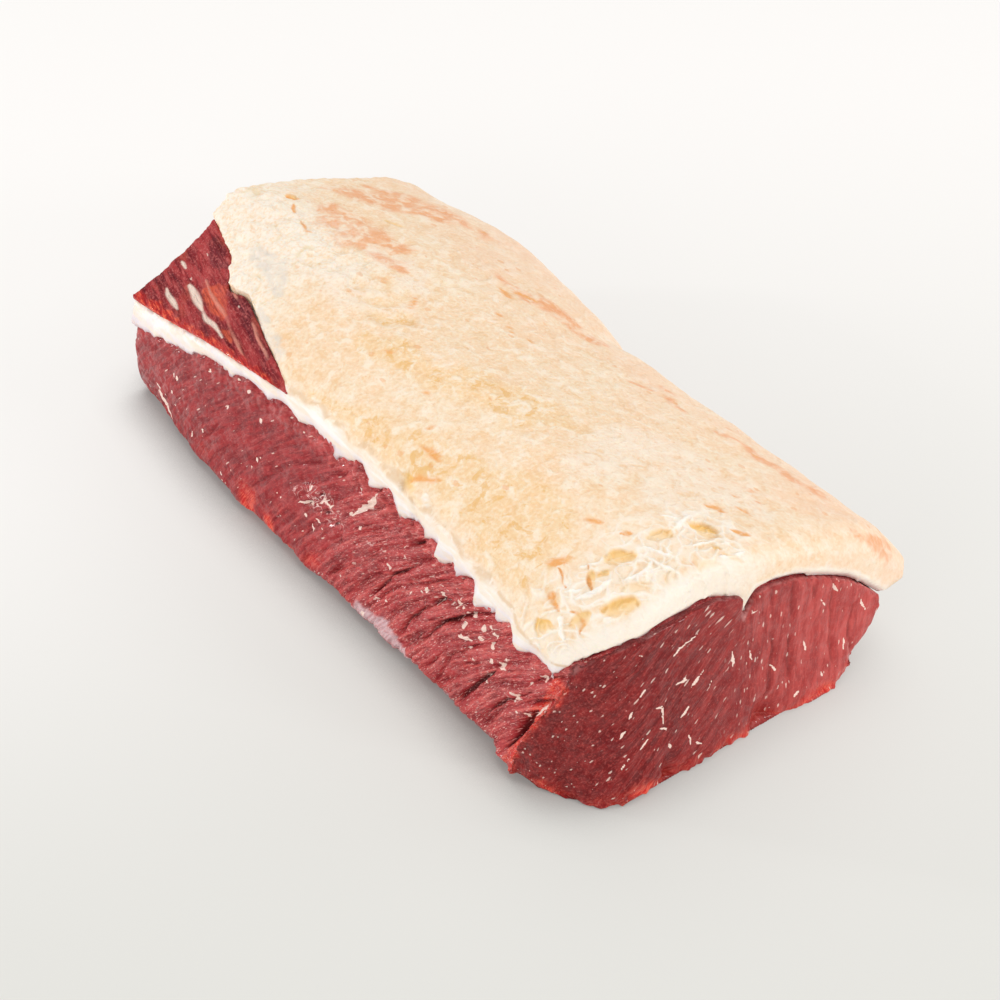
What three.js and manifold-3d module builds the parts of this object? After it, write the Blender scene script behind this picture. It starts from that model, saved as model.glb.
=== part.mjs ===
// A whole boneless beef sirloin lying fat side up: the lean loin, the fat cap over it,
// and the thin muscle that shows through the fat at the rib end.
// X runs along the loin from the rib end to the sirloin end, Y from the trimmed side
// to the side that the fat wraps, and Z up from the board. All sizes are millimetres.
import * as THREE from "three";
import { mergeVertices } from "three/addons/utils/BufferGeometryUtils.js";
import Module from "manifold-3d";

// Driving sizes of the whole cut
const LENGTH = 375;
const SEAM_GAP = 0.35; // between two pieces that lie on each other
const FOOT_RADIUS = 4; // how far the lower edge tucks in where it meets the board

// Lines that run the length of the loin, as [Y, Z] at the rib end, at a quarter, a half
// and three quarters of the length, and at the sirloin end
const TRIMMED_FOOT = [[-98, 0], [-107, 0], [-105, 0], [-101.5, 0], [-99, 0]];
const TRIMMED_SEAM = [[-97, 42], [-92.5, 61.5], [-88, 69.5], [-88, 70], [-91.5, 63]];
const WRAPPED_BELLY = [[72, 16], [82, 18], [73, 14], [74, 13], [63, 15]];
const WRAPPED_FOOT = [[56, 0], [65, 0], [58, 0], [58, 0], [50, 0]];
const LEAN_TOP = [
  TRIMMED_SEAM,
  [[-70, 58], [-72, 73], [-70, 79], [-70, 81], [-75, 78]],
  [[-36, 78], [-37, 84], [-36, 85], [-36, 84], [-36, 83]],
  [[-6, 79], [-5, 82], [-7, 80], [-9, 79], [-11, 77]],
  [[27, 71], [30, 74], [23, 72], [22, 71], [17, 71]],
  [[61, 55], [69, 55], [60, 52], [59, 51], [49, 55]],
  [[79, 34], [88, 36], [80, 31], [80, 32], [71, 35]],
];
const FAT_TOP = [
  [[-96, 57], [-93, 72], [-88, 80], [-89, 80], [-93, 73]],
  [[-60, 79], [-69, 88], [-71, 92], [-70, 93], [-74, 90]],
  [[-32, 96], [-36, 97], [-36, 98], [-35, 98.5], [-33, 99.5]],
  [[-2, 92], [-3, 95], [-6, 94], [-7, 93.5], [-9, 95]],
  [[30, 83], [33, 87], [26, 85], [24, 84], [22, 86]],
  [[73, 67], [82, 66], [72, 63.5], [73, 64], [67, 69]],
  [[89, 38], [97, 38], [87, 33], [92, 35], [92, 44]],
];

// The two cut ends. The sirloin end leans back and rounds off to the trimmed side.
const CUT_LEAN = 0.11;
const CUT_CORNER = { from: -62, width: 33, depth: 24 };
const RIB_CORNER = { from: 50, width: 38, depth: 16 };

// The groove in the lean where two muscles meet at the sirloin end, filled with fat
const LOBE_GROOVE = { y: -11, width: 11, depth: 13, reach: 0.16 };

// Swells and hollows along the wrapped side, each at a share of the length
const WRAP_SWELLS = [
  { at: 0.17, wide: 0.12, by: 3 },
  { at: 0.42, wide: 0.06, by: 1.5 },
  { at: 0.5, wide: 0.04, by: -2 },
];

// How the fat rounds down to the cut at the sirloin end, most of all where it wraps
const FAT_ROLL = { from: 0.955, trimmed: 3, wrapped: 9 };

// Lumps on the lower edge: along the trimmed side, and across the sirloin end
const SIDE_LUMPS = [
  { at: 0.52, wide: 0.025, by: 2.5 },
  { at: 0.7, wide: 0.025, by: 1.5 },
  { at: 0.965, wide: 0.04, by: 4 },
];
const CUT_LUMPS = [
  { at: -78, wide: 24, by: 4.5 },
  { at: -25, wide: 18, by: 2 },
  { at: 32, wide: 17, by: 4 },
];
const LUMP_HEIGHT = 24;

// Folds across the trimmed side, which lean towards the sirloin end as they rise
const FOLD_PITCH = 19;
const FOLD_DEPTH = 2.6;
const FOLD_SLANT = 0.62;
const FOLD_START = 0.42; // share of the length where the folds begin to deepen

// Lobes of lean that rise into the white band above the trimmed side
const SCALLOP_PITCH = 27;
const SCALLOP_HEIGHT = 3;

// The thin muscle at the rib end. Its width is a share of the fat's section.
const CAP_REACH = 0.415; // share of the length where it tapers out
const CAP_WIDTH = 0.231;
const CAP_TAPER = 0.62; // below 1, so that it stays wide and then narrows to a point
const CAP_TIP = 0.004;
const CAP_NOTCH = { at: 0.15, wide: 0.05, by: 0.16 }; // where the fat cuts into it
const CAP_INSET = 4.5; // how far its upper edge lies below the fat's surface
const CAP_SAG = 1.8;
const CAP_BITE = 0.25; // share of the fat below it that it takes up
const CAP_LEAST = 0.8; // its thickness where it tapers out
const POCKET_EASE = 0.004; // how much wider its pocket in the fat is
const CLEARANCE = 12; // how far the shape that hollows the fat stands out of it

// How finely the surfaces are divided
const PLAIN_STATIONS = 18;
const FOLDED_STATIONS = 44;
const TOP_STEPS = 18;
const TRIMMED_STEPS = 11; // odd, so that two surfaces that lie together fold alike
const WRAPPED_STEPS = 5;
const UNDER_STEPS = 11;
const END_RINGS = 5;
const CAP_STATIONS = 20;
const CAP_STEPS = 8;

const { smoothstep, lerp } = THREE.MathUtils;

function curveThrough(points) {
  return new THREE.SplineCurve(points.map(([y, z]) => new THREE.Vector2(y, z)));
}

// Where a line along the loin crosses the section at share s of the length
function lineAt(line, s) {
  return curveThrough(line).getPoint(s);
}

// 1 at the middle of a bump and 0 from `wide` away
function bump(distance, wide) {
  const u = Math.min(1, Math.abs(distance) / wide);
  return (1 - u * u) ** 2;
}

// The sum of all the bumps at a place along a line
function bumps(list, place) {
  return list.reduce((sum, one) => sum + one.by * bump(place - one.at, one.wide), 0);
}

// Where the cut at the sirloin end and the one at the rib end lie
function sirloinEnd(y, z) {
  const past = Math.max(0, CUT_CORNER.from - y) / CUT_CORNER.width;
  const lump = bumps(CUT_LUMPS, y) * (1 - smoothstep(z, 0, LUMP_HEIGHT));
  return LENGTH / 2 - CUT_LEAN * z - CUT_CORNER.depth * past * past + lump;
}

function ribEnd(y) {
  const past = Math.max(0, y - RIB_CORNER.from) / RIB_CORNER.width;
  return -LENGTH / 2 + RIB_CORNER.depth * past * past;
}

// A section point placed at share s between the two cut ends
function placed(s, y, z) {
  return new THREE.Vector3(lerp(ribEnd(y), sirloinEnd(y, z), s), y, z);
}

// The lower edges round inwards to the board.
function tuck(z) {
  const up = Math.max(0, FOOT_RADIUS - z);
  return FOOT_RADIUS - Math.sqrt(FOOT_RADIUS ** 2 - up ** 2);
}

// How far the wrapped side swells, which fades out towards the top of the loin
function wrapSwell(s, y) {
  return bumps(WRAP_SWELLS, s) * smoothstep(y, 0, 75);
}

// How high the lean rises into the white band
function scallop(s, share) {
  const x = s * LENGTH;
  const wave = Math.sin((2 * Math.PI * x) / SCALLOP_PITCH + 1.7 * Math.sin(x / 31));
  return SCALLOP_HEIGHT * wave * bump(share, 0.12) * smoothstep(s, 0.3, 0.6);
}

// How deep the fat-filled groove between the two muscles is
function lobeGroove(s, y) {
  const { y: middle, width, depth, reach } = LOBE_GROOVE;
  return depth * bump(y - middle, width) * bump(1 - s, reach);
}

// Folds pressed into the trimmed side: wide rounded ridges with narrow creases between.
// They wander a little and fade out at the board and at the seam.
function foldDepth(s, z, height) {
  const x = s * LENGTH;
  const along = (x - FOLD_SLANT * z + 4 * Math.sin(x / 23 + z / 19)) / FOLD_PITCH;
  const crease = (0.5 + 0.5 * Math.cos(2 * Math.PI * along)) ** 2;
  const strength = 0.25 + 0.75 * smoothstep(s, FOLD_START, 0.75);
  const fade = smoothstep(z, 2, 14) * (1 - smoothstep(z, 0.75 * height, height));
  return FOLD_DEPTH * strength * fade * crease;
}

// The curve across the loin at share s, through all the given lines
function arch(lines, s) {
  return new THREE.SplineCurve(lines.map((line) => lineAt(line, s)));
}

// The lean's surface under the fat, raised by `lift` along its normal
function leanTop(s, share, lift = 0) {
  const curve = arch(LEAN_TOP, s);
  const point = curve.getPoint(share);
  const tangent = curve.getTangent(share);
  const y = point.x - lift * tangent.y;
  const z = point.y + lift * tangent.x;
  return placed(
    s,
    y + wrapSwell(s, y),
    z + scallop(s, share) - lobeGroove(s, point.x),
  );
}

// How far the fat has rounded down towards the cut at the sirloin end
function fatRoll(s, y) {
  const past = Math.max(0, s - FAT_ROLL.from) / (1 - FAT_ROLL.from);
  const depth = lerp(FAT_ROLL.trimmed, FAT_ROLL.wrapped, smoothstep(y, 0, 60));
  return depth * (1 - Math.sqrt(1 - Math.min(1, past * past)));
}

// The fat's outer surface, or `sink` below it
function fatTop(s, share, sink = 0) {
  const curve = arch(FAT_TOP, s);
  const point = curve.getPoint(share);
  const tangent = curve.getTangent(share);
  const down = sink + fatRoll(s, point.x);
  const y = point.x + down * tangent.y;
  return placed(s, y + wrapSwell(s, y), point.y - down * tangent.x);
}

function trimmedSide(s, share) {
  const foot = lineAt(TRIMMED_FOOT, s);
  const seam = lineAt(TRIMMED_SEAM, s);
  const z = lerp(0, seam.y + scallop(s, 0), share);
  const swell = 3 * Math.sin(Math.PI * share);
  const lump = bumps(SIDE_LUMPS, s) * (1 - smoothstep(z, 0, LUMP_HEIGHT));
  const out = swell + lump - tuck(z) - foldDepth(s, z, seam.y);
  return placed(s, lerp(foot.x, seam.x, share) - out, z);
}

function wrappedSide(s, share) {
  const curve = arch([LEAN_TOP.at(-1), WRAPPED_BELLY, WRAPPED_FOOT], s);
  const point = curve.getPoint(share);
  const y = point.x + wrapSwell(s, point.x) - tuck(point.y);
  return placed(s, y, Math.max(0, point.y));
}

function underside(s, share) {
  const far = wrappedSide(s, 1).y;
  const near = trimmedSide(s, 0).y;
  return placed(s, lerp(far, near, share), 0);
}

// Shares of the length at which sections are taken, closer together along the folds
function stations() {
  const plain = Array.from(
    { length: PLAIN_STATIONS },
    (_, i) => (FOLD_START * i) / PLAIN_STATIONS,
  );
  const folded = Array.from(
    { length: FOLDED_STATIONS + 1 },
    (_, i) => FOLD_START + ((1 - FOLD_START) * i) / FOLDED_STATIONS,
  );
  return [...plain, ...folded];
}

// `steps` points of a side, without its last, which the next side begins with
function sidePoints(side, s, steps) {
  return Array.from({ length: steps }, (_, i) => side(s, i / steps));
}

// A closed body through rings of points, which are joined in a lattice
function skin(rings, closeEnd) {
  const positions = rings.flat();
  const index = [];
  const count = rings[0].length;
  for (let i = 0; i + 1 < rings.length; i++) {
    for (let j = 0; j < count; j++) {
      const k = (j + 1) % count;
      const [a, b] = [i * count + j, i * count + k];
      const [c, d] = [a + count, b + count];
      index.push(...((i + j) % 2 ? [a, c, b, b, c, d] : [a, c, d, a, d, b]));
    }
  }
  closeEnd(positions, index, 0, true);
  closeEnd(positions, index, (rings.length - 1) * count, false);
  const geometry = new THREE.BufferGeometry().setFromPoints(positions);
  geometry.setIndex(index);
  return geometry;
}

// Closes an end with rings that shrink to the middle of the cut, on the cut's surface.
function faceEnd(count, surface) {
  return (positions, index, first, atRibEnd) => {
    const edge = positions.slice(first, first + count);
    const middle = edge
      .reduce((sum, p) => sum.add(p), new THREE.Vector3())
      .divideScalar(count);
    const put = (p) => positions.push(p.setX(surface(p, atRibEnd))) - 1;
    const triangle = (a, b, c) =>
      atRibEnd ? index.push(a, b, c) : index.push(a, c, b);
    let outer = edge.map((_, j) => first + j);
    for (let ring = 1; ring < END_RINGS; ring++) {
      const inner = edge.map((p) => put(p.clone().lerp(middle, ring / END_RINGS)));
      outer.forEach((a, j) => {
        const k = (j + 1) % count;
        triangle(a, outer[k], inner[j]);
        triangle(outer[k], inner[k], inner[j]);
      });
      outer = inner;
    }
    const hub = put(middle.clone());
    outer.forEach((a, j) => triangle(a, outer[(j + 1) % count], hub));
  };
}

// Closes an end of a layer, whose ring runs out along one face and back along the other.
function layerEnd(count) {
  return (positions, index, first, atRibEnd) => {
    for (let j = 0; j < count / 2 - 1; j++) {
      const [a, b] = [first + j, first + j + 1];
      const [c, d] = [first + count - 1 - j, first + count - 2 - j];
      const faces = [a, b, c, b, d, c];
      index.push(...(atRibEnd ? faces : faces.reverse()));
    }
  };
}

function cutSurface(point, atRibEnd) {
  return atRibEnd ? ribEnd(point.y) : sirloinEnd(point.y, point.z);
}

function loinGeometry() {
  const rings = stations().map((s) => [
    ...sidePoints(trimmedSide, s, TRIMMED_STEPS),
    ...sidePoints(leanTop, s, TOP_STEPS),
    ...sidePoints(wrappedSide, s, WRAPPED_STEPS),
    ...sidePoints(underside, s, UNDER_STEPS),
  ]);
  return skin(rings, faceEnd(rings[0].length, cutSurface));
}

function fatGeometry() {
  const shares = Array.from({ length: TOP_STEPS + 1 }, (_, j) => j / TOP_STEPS);
  const rings = stations().map((s) => [
    ...shares.map((share) => fatTop(s, share)),
    ...shares.toReversed().map((share) => leanTop(s, share, SEAM_GAP)),
  ]);
  return skin(rings, layerEnd(rings[0].length));
}

// How far the thin muscle's outer surface lies below the fat's, at share u of its width
function capInset(u, left) {
  return (CAP_INSET * u + CAP_SAG * Math.sin(Math.PI * u)) * Math.sqrt(left);
}

// How deep the thin muscle's underside lies, which leaves fat between it and the lean
function capFloor(s, share, u, left) {
  const fatBelow = fatTop(s, share).distanceTo(leanTop(s, share));
  const hollow = Math.sqrt(left) * Math.sin(Math.PI * (0.15 + 0.8 * u)) ** 0.6;
  return capInset(u, left) + CAP_LEAST + CAP_BITE * fatBelow * hollow;
}

// One section of the thin muscle, of which a share `left` is still to come. Points run
// up its outer surface and back under it. `ease` widens and deepens it.
function capSection(s, left, ease, outerSink) {
  const width = CAP_WIDTH * (left ** CAP_TAPER - bumps([CAP_NOTCH], s)) + CAP_TIP;
  const widest = width + (ease > 0 ? POCKET_EASE : 0);
  const shares = Array.from({ length: CAP_STEPS + 1 }, (_, j) => j / CAP_STEPS);
  const outer = shares.map((u) => fatTop(s, widest * u, outerSink(u, left)));
  const inner = shares
    .toReversed()
    .map((u) => fatTop(s, widest * u, capFloor(s, widest * u, u, left) + ease));
  inner.at(-1).setY(lineAt(FAT_TOP[0], s).x + SEAM_GAP - ease);
  return [...outer, ...inner];
}

function capSections(ease, outerSink) {
  const reach = CAP_REACH + ease / LENGTH;
  return Array.from({ length: CAP_STATIONS + 1 }, (_, i) =>
    capSection((reach * i) / CAP_STATIONS, 1 - i / CAP_STATIONS, ease, outerSink),
  );
}

function capGeometry() {
  const rings = capSections(0, capInset);
  return skin(rings, layerEnd(rings[0].length));
}

// The shape that hollows the fat for the thin muscle: it runs out of the fat upwards,
// sideways past the trimmed side, and lengthways past the rib end.
function pocketGeometry() {
  const sideways = (p) => p.clone().setY(p.y - CLEARANCE);
  const rings = capSections(SEAM_GAP, () => -CLEARANCE).map((ring) => [
    sideways(ring[0]),
    ...ring,
    sideways(ring.at(-1)),
  ]);
  rings.unshift(rings[0].map((p) => p.clone().setX(p.x - CLEARANCE)));
  return skin(rings, layerEnd(rings[0].length));
}

const wasm = await Module();
wasm.setup();

function solidOf(geometry) {
  const welded = mergeVertices(geometry, 1e-4);
  return new wasm.Manifold(
    new wasm.Mesh({
      numProp: 3,
      vertProperties: welded.attributes.position.array,
      triVerts: new Uint32Array(welded.index.array),
    }),
  );
}

function geometryOf(solid) {
  const { vertProperties, triVerts } = solid.getMesh();
  return new THREE.BufferGeometry()
    .setAttribute("position", new THREE.BufferAttribute(vertProperties, 3))
    .setIndex(new THREE.BufferAttribute(triVerts, 1));
}

function piece(name, geometry, color, roughness) {
  const faceted = geometry.toNonIndexed();
  faceted.computeVertexNormals();
  const material = new THREE.MeshStandardMaterial({ color, roughness, metalness: 0 });
  const mesh = new THREE.Mesh(faceted, material);
  mesh.name = name;
  return mesh;
}

const fat = solidOf(fatGeometry()).subtract(solidOf(pocketGeometry()));

const sirloin = new THREE.Group();
sirloin.add(
  piece("loin", loinGeometry(), 0x9c4040, 0.45),
  piece("fat_cap", geometryOf(fat), 0xf5dcba, 0.55),
  piece("cap_muscle", capGeometry(), 0x7d2a30, 0.45),
);

// The origin is under the middle of the whole cut, on the board.
const box = new THREE.Box3().setFromObject(sirloin);
const middle = box.getCenter(new THREE.Vector3());
for (const { geometry } of sirloin.children) {
  geometry.translate(-middle.x, -middle.y, -box.min.z);
}

export default sirloin;
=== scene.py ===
# %% [markdown]
# # A raw beef sirloin
#
# This lesson dresses three plain solids as a whole boneless sirloin: the lean loin, the
# fat cap that lies over it, and the thin muscle that shows through the fat at the rib
# end. Raw meat is a good exercise because almost nothing on it is regular. The work goes
# from large to small: first the folds and torn edges, in the mesh, and then the marbling,
# fibres and mottling, in the materials.

# %% Load the solids
import math
from types import SimpleNamespace

import bmesh
import bpy
import numpy as np
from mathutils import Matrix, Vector, noise
from mathutils.bvhtree import BVHTree


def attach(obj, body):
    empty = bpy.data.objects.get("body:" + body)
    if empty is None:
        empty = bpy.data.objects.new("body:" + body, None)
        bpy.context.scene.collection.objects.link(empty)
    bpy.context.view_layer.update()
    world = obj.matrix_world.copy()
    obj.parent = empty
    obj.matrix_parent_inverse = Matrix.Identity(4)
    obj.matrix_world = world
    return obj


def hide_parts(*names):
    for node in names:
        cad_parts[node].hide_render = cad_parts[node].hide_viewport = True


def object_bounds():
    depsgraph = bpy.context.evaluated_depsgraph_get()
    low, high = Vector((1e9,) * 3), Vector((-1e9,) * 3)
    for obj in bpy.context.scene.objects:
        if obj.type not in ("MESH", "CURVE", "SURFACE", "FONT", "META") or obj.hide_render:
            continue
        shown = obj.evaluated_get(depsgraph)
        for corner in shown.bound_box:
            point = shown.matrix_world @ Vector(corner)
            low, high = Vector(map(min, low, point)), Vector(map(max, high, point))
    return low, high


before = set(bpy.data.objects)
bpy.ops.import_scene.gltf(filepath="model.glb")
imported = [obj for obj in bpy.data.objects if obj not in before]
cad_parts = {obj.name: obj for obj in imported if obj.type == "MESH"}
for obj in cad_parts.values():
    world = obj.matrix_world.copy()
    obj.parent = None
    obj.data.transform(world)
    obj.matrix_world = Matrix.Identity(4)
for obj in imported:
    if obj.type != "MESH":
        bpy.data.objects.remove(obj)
cad_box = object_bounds()
MM = 0.001
print("solids:", sorted(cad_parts))
print("size in mm:", [round(side / MM) for side in cad_box[1] - cad_box[0]])

# %% [markdown]
# ## The camera
#
# The cut is seen from 40 degrees above the board and from its sirloin end, turned a
# little to the trimmed side. The azimuth is measured from the side's normal, so 0 would
# look straight at the trimmed side. A 65 mm lens keeps the far end from shrinking much.

# %% Place the camera
CAMERA_AZIMUTH = math.radians(54)
CAMERA_ELEVATION = math.radians(40)
CAMERA_DISTANCE = 0.885
CAMERA_TARGET = Vector((-0.002, 0.0039, 0.0))
CAMERA_LENS = 65
CAMERA_SENSOR = 36

toward_camera = Vector(
    (
        math.sin(CAMERA_AZIMUTH) * math.cos(CAMERA_ELEVATION),
        -math.cos(CAMERA_AZIMUTH) * math.cos(CAMERA_ELEVATION),
        math.sin(CAMERA_ELEVATION),
    )
)
camera_data = bpy.data.cameras.new("camera")
camera_data.lens = CAMERA_LENS
camera_data.sensor_width = CAMERA_SENSOR
camera_data.dof.use_dof = False
camera = bpy.data.objects.new("camera", camera_data)
camera.location = CAMERA_TARGET + toward_camera * CAMERA_DISTANCE
camera.rotation_euler = (-toward_camera).to_track_quat("-Z", "Y").to_euler()
bpy.context.scene.collection.objects.link(camera)
bpy.context.scene.camera = camera
print("camera at", [round(c, 3) for c in camera.location])

# %% [markdown]
# ## Helpers for shaping the meshes
#
# The solids have large flat facets, which are right for physics and too coarse for meat.
# A voxel remesh covers each with small even squares, and a smoothing pass melts the
# facets. After that a surface can be moved point by point with numpy: the points, their
# normals and a few masks are arrays, and each fold or pit is a line of arithmetic. The
# shaping is done in millimetres, and only the meshes themselves are in metres.

# %% Arrays in and out of a mesh
def points_of(mesh):
    """The mesh's points, in mm."""
    flat = np.empty(len(mesh.vertices) * 3)
    mesh.vertices.foreach_get("co", flat)
    return flat.reshape(-1, 3) / MM


def normals_of(mesh):
    flat = np.empty(len(mesh.vertices) * 3)
    mesh.vertex_normals.foreach_get("vector", flat)
    return flat.reshape(-1, 3)


def set_points(mesh, points):
    """Moves the points, kept inside the solids' own box."""
    inside = np.clip(points * MM, cad_box[0], cad_box[1])
    mesh.vertices.foreach_set("co", np.ascontiguousarray(inside).ravel())
    mesh.update()


def paint(mesh, **masks):
    """Stores one number a point under each name, for a material to read."""
    for name, values in masks.items():
        layer = mesh.attributes.new(name, "FLOAT", "POINT")
        layer.data.foreach_set("value", np.clip(values, 0, 1).astype(np.float32))


def paint_grain(mesh, name, values):
    """Stores each point's place along, across and into the grain of the meat."""
    layer = mesh.attributes.new(name, "FLOAT_VECTOR", "POINT")
    layer.data.foreach_set("vector", (values * MM).astype(np.float32).ravel())


# %% Smooth steps and noise
SEED_STEP = 17.3
CELL_SEED_STEP = 11.7


def smooth(value, low, high):
    """0 below low, 1 above high and a soft slope between."""
    t = np.clip((value - low) / (high - low), 0, 1)
    return t * t * (3 - 2 * t)


def lumps(points, size, seed=0):
    """Soft random lumps of about the given size, between -1 and 1."""
    spots = points / size + seed * SEED_STEP
    return np.array([noise.noise(spot) for spot in spots.tolist()])


def cells(points, size, seed=0):
    """How far each point is from the nearest of scattered centres, in shares of size."""
    spots = points / size + seed * CELL_SEED_STEP
    return np.array([noise.voronoi(spot)[0][0] for spot in spots.tolist()])


def shaken(points, size, reach, seed=0):
    """The points moved about at random, to roughen the edge of what is drawn with them."""
    moves = [lumps(points, size, seed + axis) for axis in range(points.shape[1])]
    return points + reach * np.stack(moves, axis=1)


# %% Lines drawn on a surface
def line_distance(points, corners):
    """How far points are from a bent line in mm, and how far along it they are."""
    best = np.full(len(points), np.inf)
    along = np.zeros(len(points))
    for i, (start, end) in enumerate(zip(corners[:-1], corners[1:])):
        run = np.subtract(end, start)
        t = np.clip((points - np.array(start)) @ run / (run @ run), 0, 1)
        gap = np.linalg.norm(points - np.array(start) - t[:, None] * run, axis=1)
        nearer = gap < best
        best = np.where(nearer, gap, best)
        along = np.where(nearer, (i + t) / (len(corners) - 1), along)
    return best, along


def strokes(points, lines):
    """Covers tapering strokes, each its corners and half its width in mm, with 1."""
    mask = np.zeros(len(points))
    for *corners, half in lines:
        gap, along = line_distance(points, corners)
        taper = 1 - 0.6 * (2 * along - 1) ** 2
        mask = np.maximum(mask, 1 - smooth(gap / (half * taper), 0.5, 1.2))
    return mask


# %% Distance to another solid
def gap_to(node, points):
    """How far each point is from a solid's surface."""
    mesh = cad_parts[node].data
    corners = [tuple(vertex.co / MM) for vertex in mesh.vertices]
    tree = BVHTree.FromPolygons(corners, [tuple(face.vertices) for face in mesh.polygons])
    return np.array([tree.find_nearest(spot)[3] for spot in points.tolist()])


# %% A finer copy of a solid
WELD_GAP = 1e-6


def fine_copy(node, name, square, melt):
    """A copy of a solid in even squares, smoothed over a few passes."""
    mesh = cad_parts[node].data.copy()
    mesh.materials.clear()
    work = bmesh.new()
    work.from_mesh(mesh)
    bmesh.ops.remove_doubles(work, verts=work.verts, dist=WELD_GAP)
    work.to_mesh(mesh)
    work.free()
    piece = bpy.data.objects.new(name, mesh)
    bpy.context.scene.collection.objects.link(piece)
    remesh = piece.modifiers.new("squares", "REMESH")
    remesh.mode = "VOXEL"
    remesh.voxel_size = square * MM
    melting = piece.modifiers.new("melt", "SMOOTH")
    melting.factor = 0.5
    melting.iterations = melt
    graph = bpy.context.evaluated_depsgraph_get()
    piece.data = bpy.data.meshes.new_from_object(piece.evaluated_get(graph))
    piece.data.name = name
    piece.modifiers.clear()
    piece.data.shade_smooth()
    print(name, "has", len(piece.data.polygons), "squares")
    return piece


def refine(mesh, choose, rounds=1):
    """Cuts the squares that are chosen by their points into four, and softens them."""
    for _ in range(rounds):
        chosen = choose(points_of(mesh), normals_of(mesh))
        work = bmesh.new()
        work.from_mesh(mesh)
        work.verts.ensure_lookup_table()
        edges = [e for e in work.edges if all(chosen[v.index] for v in e.verts)]
        bmesh.ops.subdivide_edges(work, edges=edges, cuts=1, use_grid_fill=True)
        fine = list({v for e in edges if e.is_valid for v in e.verts})
        for _ in range(2):
            bmesh.ops.smooth_vert(
                work, verts=fine, factor=0.5, use_axis_x=True, use_axis_y=True, use_axis_z=True
            )
        bmesh.ops.triangulate(work, faces=[f for f in work.faces if len(f.verts) > 4])
        work.to_mesh(mesh)
        work.free()
    mesh.shade_smooth()
    print(mesh.name, "refined to", len(mesh.polygons), "faces")


# %% [markdown]
# ## The loin
#
# The lean is one long body. Two of its faces matter most: the trimmed side, where the
# loin was pulled and folded as it was cut free, and the sirloin end, a clean slice
# across the grain. Both get sixteen times as many squares as the rest, so that a crease
# a millimetre wide can be real geometry.

# %% Copy the loin and find its faces
LOIN_SQUARE = 2.8
# Where the side meets the cut, from the top down.
CORNER = [(163, -85, 59), (161, -87, 51), (157, -91, 43), (152, -94, 31), (147, -96, 16), (145, -97, 4)]
CORNER_X, _, CORNER_Z = np.array(CORNER[::-1]).T
CUT_X = 185.5
CUT_REACH = 14
CUT_LEAN = 0.11
BEVEL_START = -58
BEVEL_WIDTH = 33
BEVEL_DEPTH = 24


def behind_cut(points):
    """How far behind the sirloin end's cut a point lies. The cut leans back a little."""
    bevel = np.clip((BEVEL_START - points[:, 1]) / BEVEL_WIDTH, 0, None)
    plane = CUT_X - CUT_LEAN * points[:, 2] - BEVEL_DEPTH * bevel**2
    return plane - points[:, 0]


def cut_face(points, normals):
    past_corner = points[:, 0] - np.interp(points[:, 2], CORNER_Z, CORNER_X)
    wrapped = smooth(past_corner, -0.5, 1.5) * smooth(-points[:, 1], 78, 82)
    facing = smooth(normals[:, 0], 0.3, 0.5) * smooth(points[:, 1], -86, -80)
    return np.maximum(facing * (behind_cut(points) < CUT_REACH), wrapped)


def trimmed_side(points, normals):
    facing = smooth(-normals[:, 1], 0.2, 0.6) * smooth(-points[:, 1], 60, 75)
    return facing * (1 - cut_face(points, normals))


loin = fine_copy("loin", "loin_meat", LOIN_SQUARE, melt=3)
refine(loin.data, lambda p, n: np.maximum(trimmed_side(p, n), cut_face(p, n)) > 0.4, rounds=2)

# %% [markdown]
# The folds of the trimmed side lean towards the sirloin end as they rise, a little at
# the foot and a lot under the lip. So each point gets a grain: how far it is along a
# fold, across the folds, and into the meat. Folds, fibres and flecks all follow it. The
# cut face has a grain of its own, slanting in the left muscle and upright in the right.

# %% The grain
FOLD_LEAN_FOOT = 0.5
FOLD_LEAN_LIP = 1.5
LIP_HEIGHT = 66
LEFT_MUSCLE_SLANT = math.radians(42)
ALONG_SIDE = 1.2
ACROSS_SIDE = 0.8


def grain_of(points, cut):
    """The grain of the side, whose folds slant, and of the left muscle on the cut."""
    x, y, z = points.T
    lean = FOLD_LEAN_FOOT * z + (FOLD_LEAN_LIP - FOLD_LEAN_FOOT) * z**2 / (2 * LIP_HEIGHT)
    side = np.stack([ALONG_SIDE * z, ACROSS_SIDE * (x - lean), y], axis=1)
    cosine, sine = math.cos(LEFT_MUSCLE_SLANT), math.sin(LEFT_MUSCLE_SLANT)
    left = np.stack([cosine * y + sine * z, cosine * z - sine * y, x], axis=1)
    return np.where((cut > 0.5)[:, None], left, side)


def right_grain_of(points):
    x, y, z = points.T
    return np.stack([z + 0.15 * y, y - 0.1 * z, x], axis=1)


# %% [markdown]
# The side is covered by folds that lie over one another like shingles. Each rises
# steeply out of a sharp valley and then sinks slowly into the next. They come in two
# sizes, broad rolls and ribs a third as wide on top of them, and are strongest towards
# the sirloin end. Fourteen creases are placed one by one, since they catch the eye.

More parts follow.
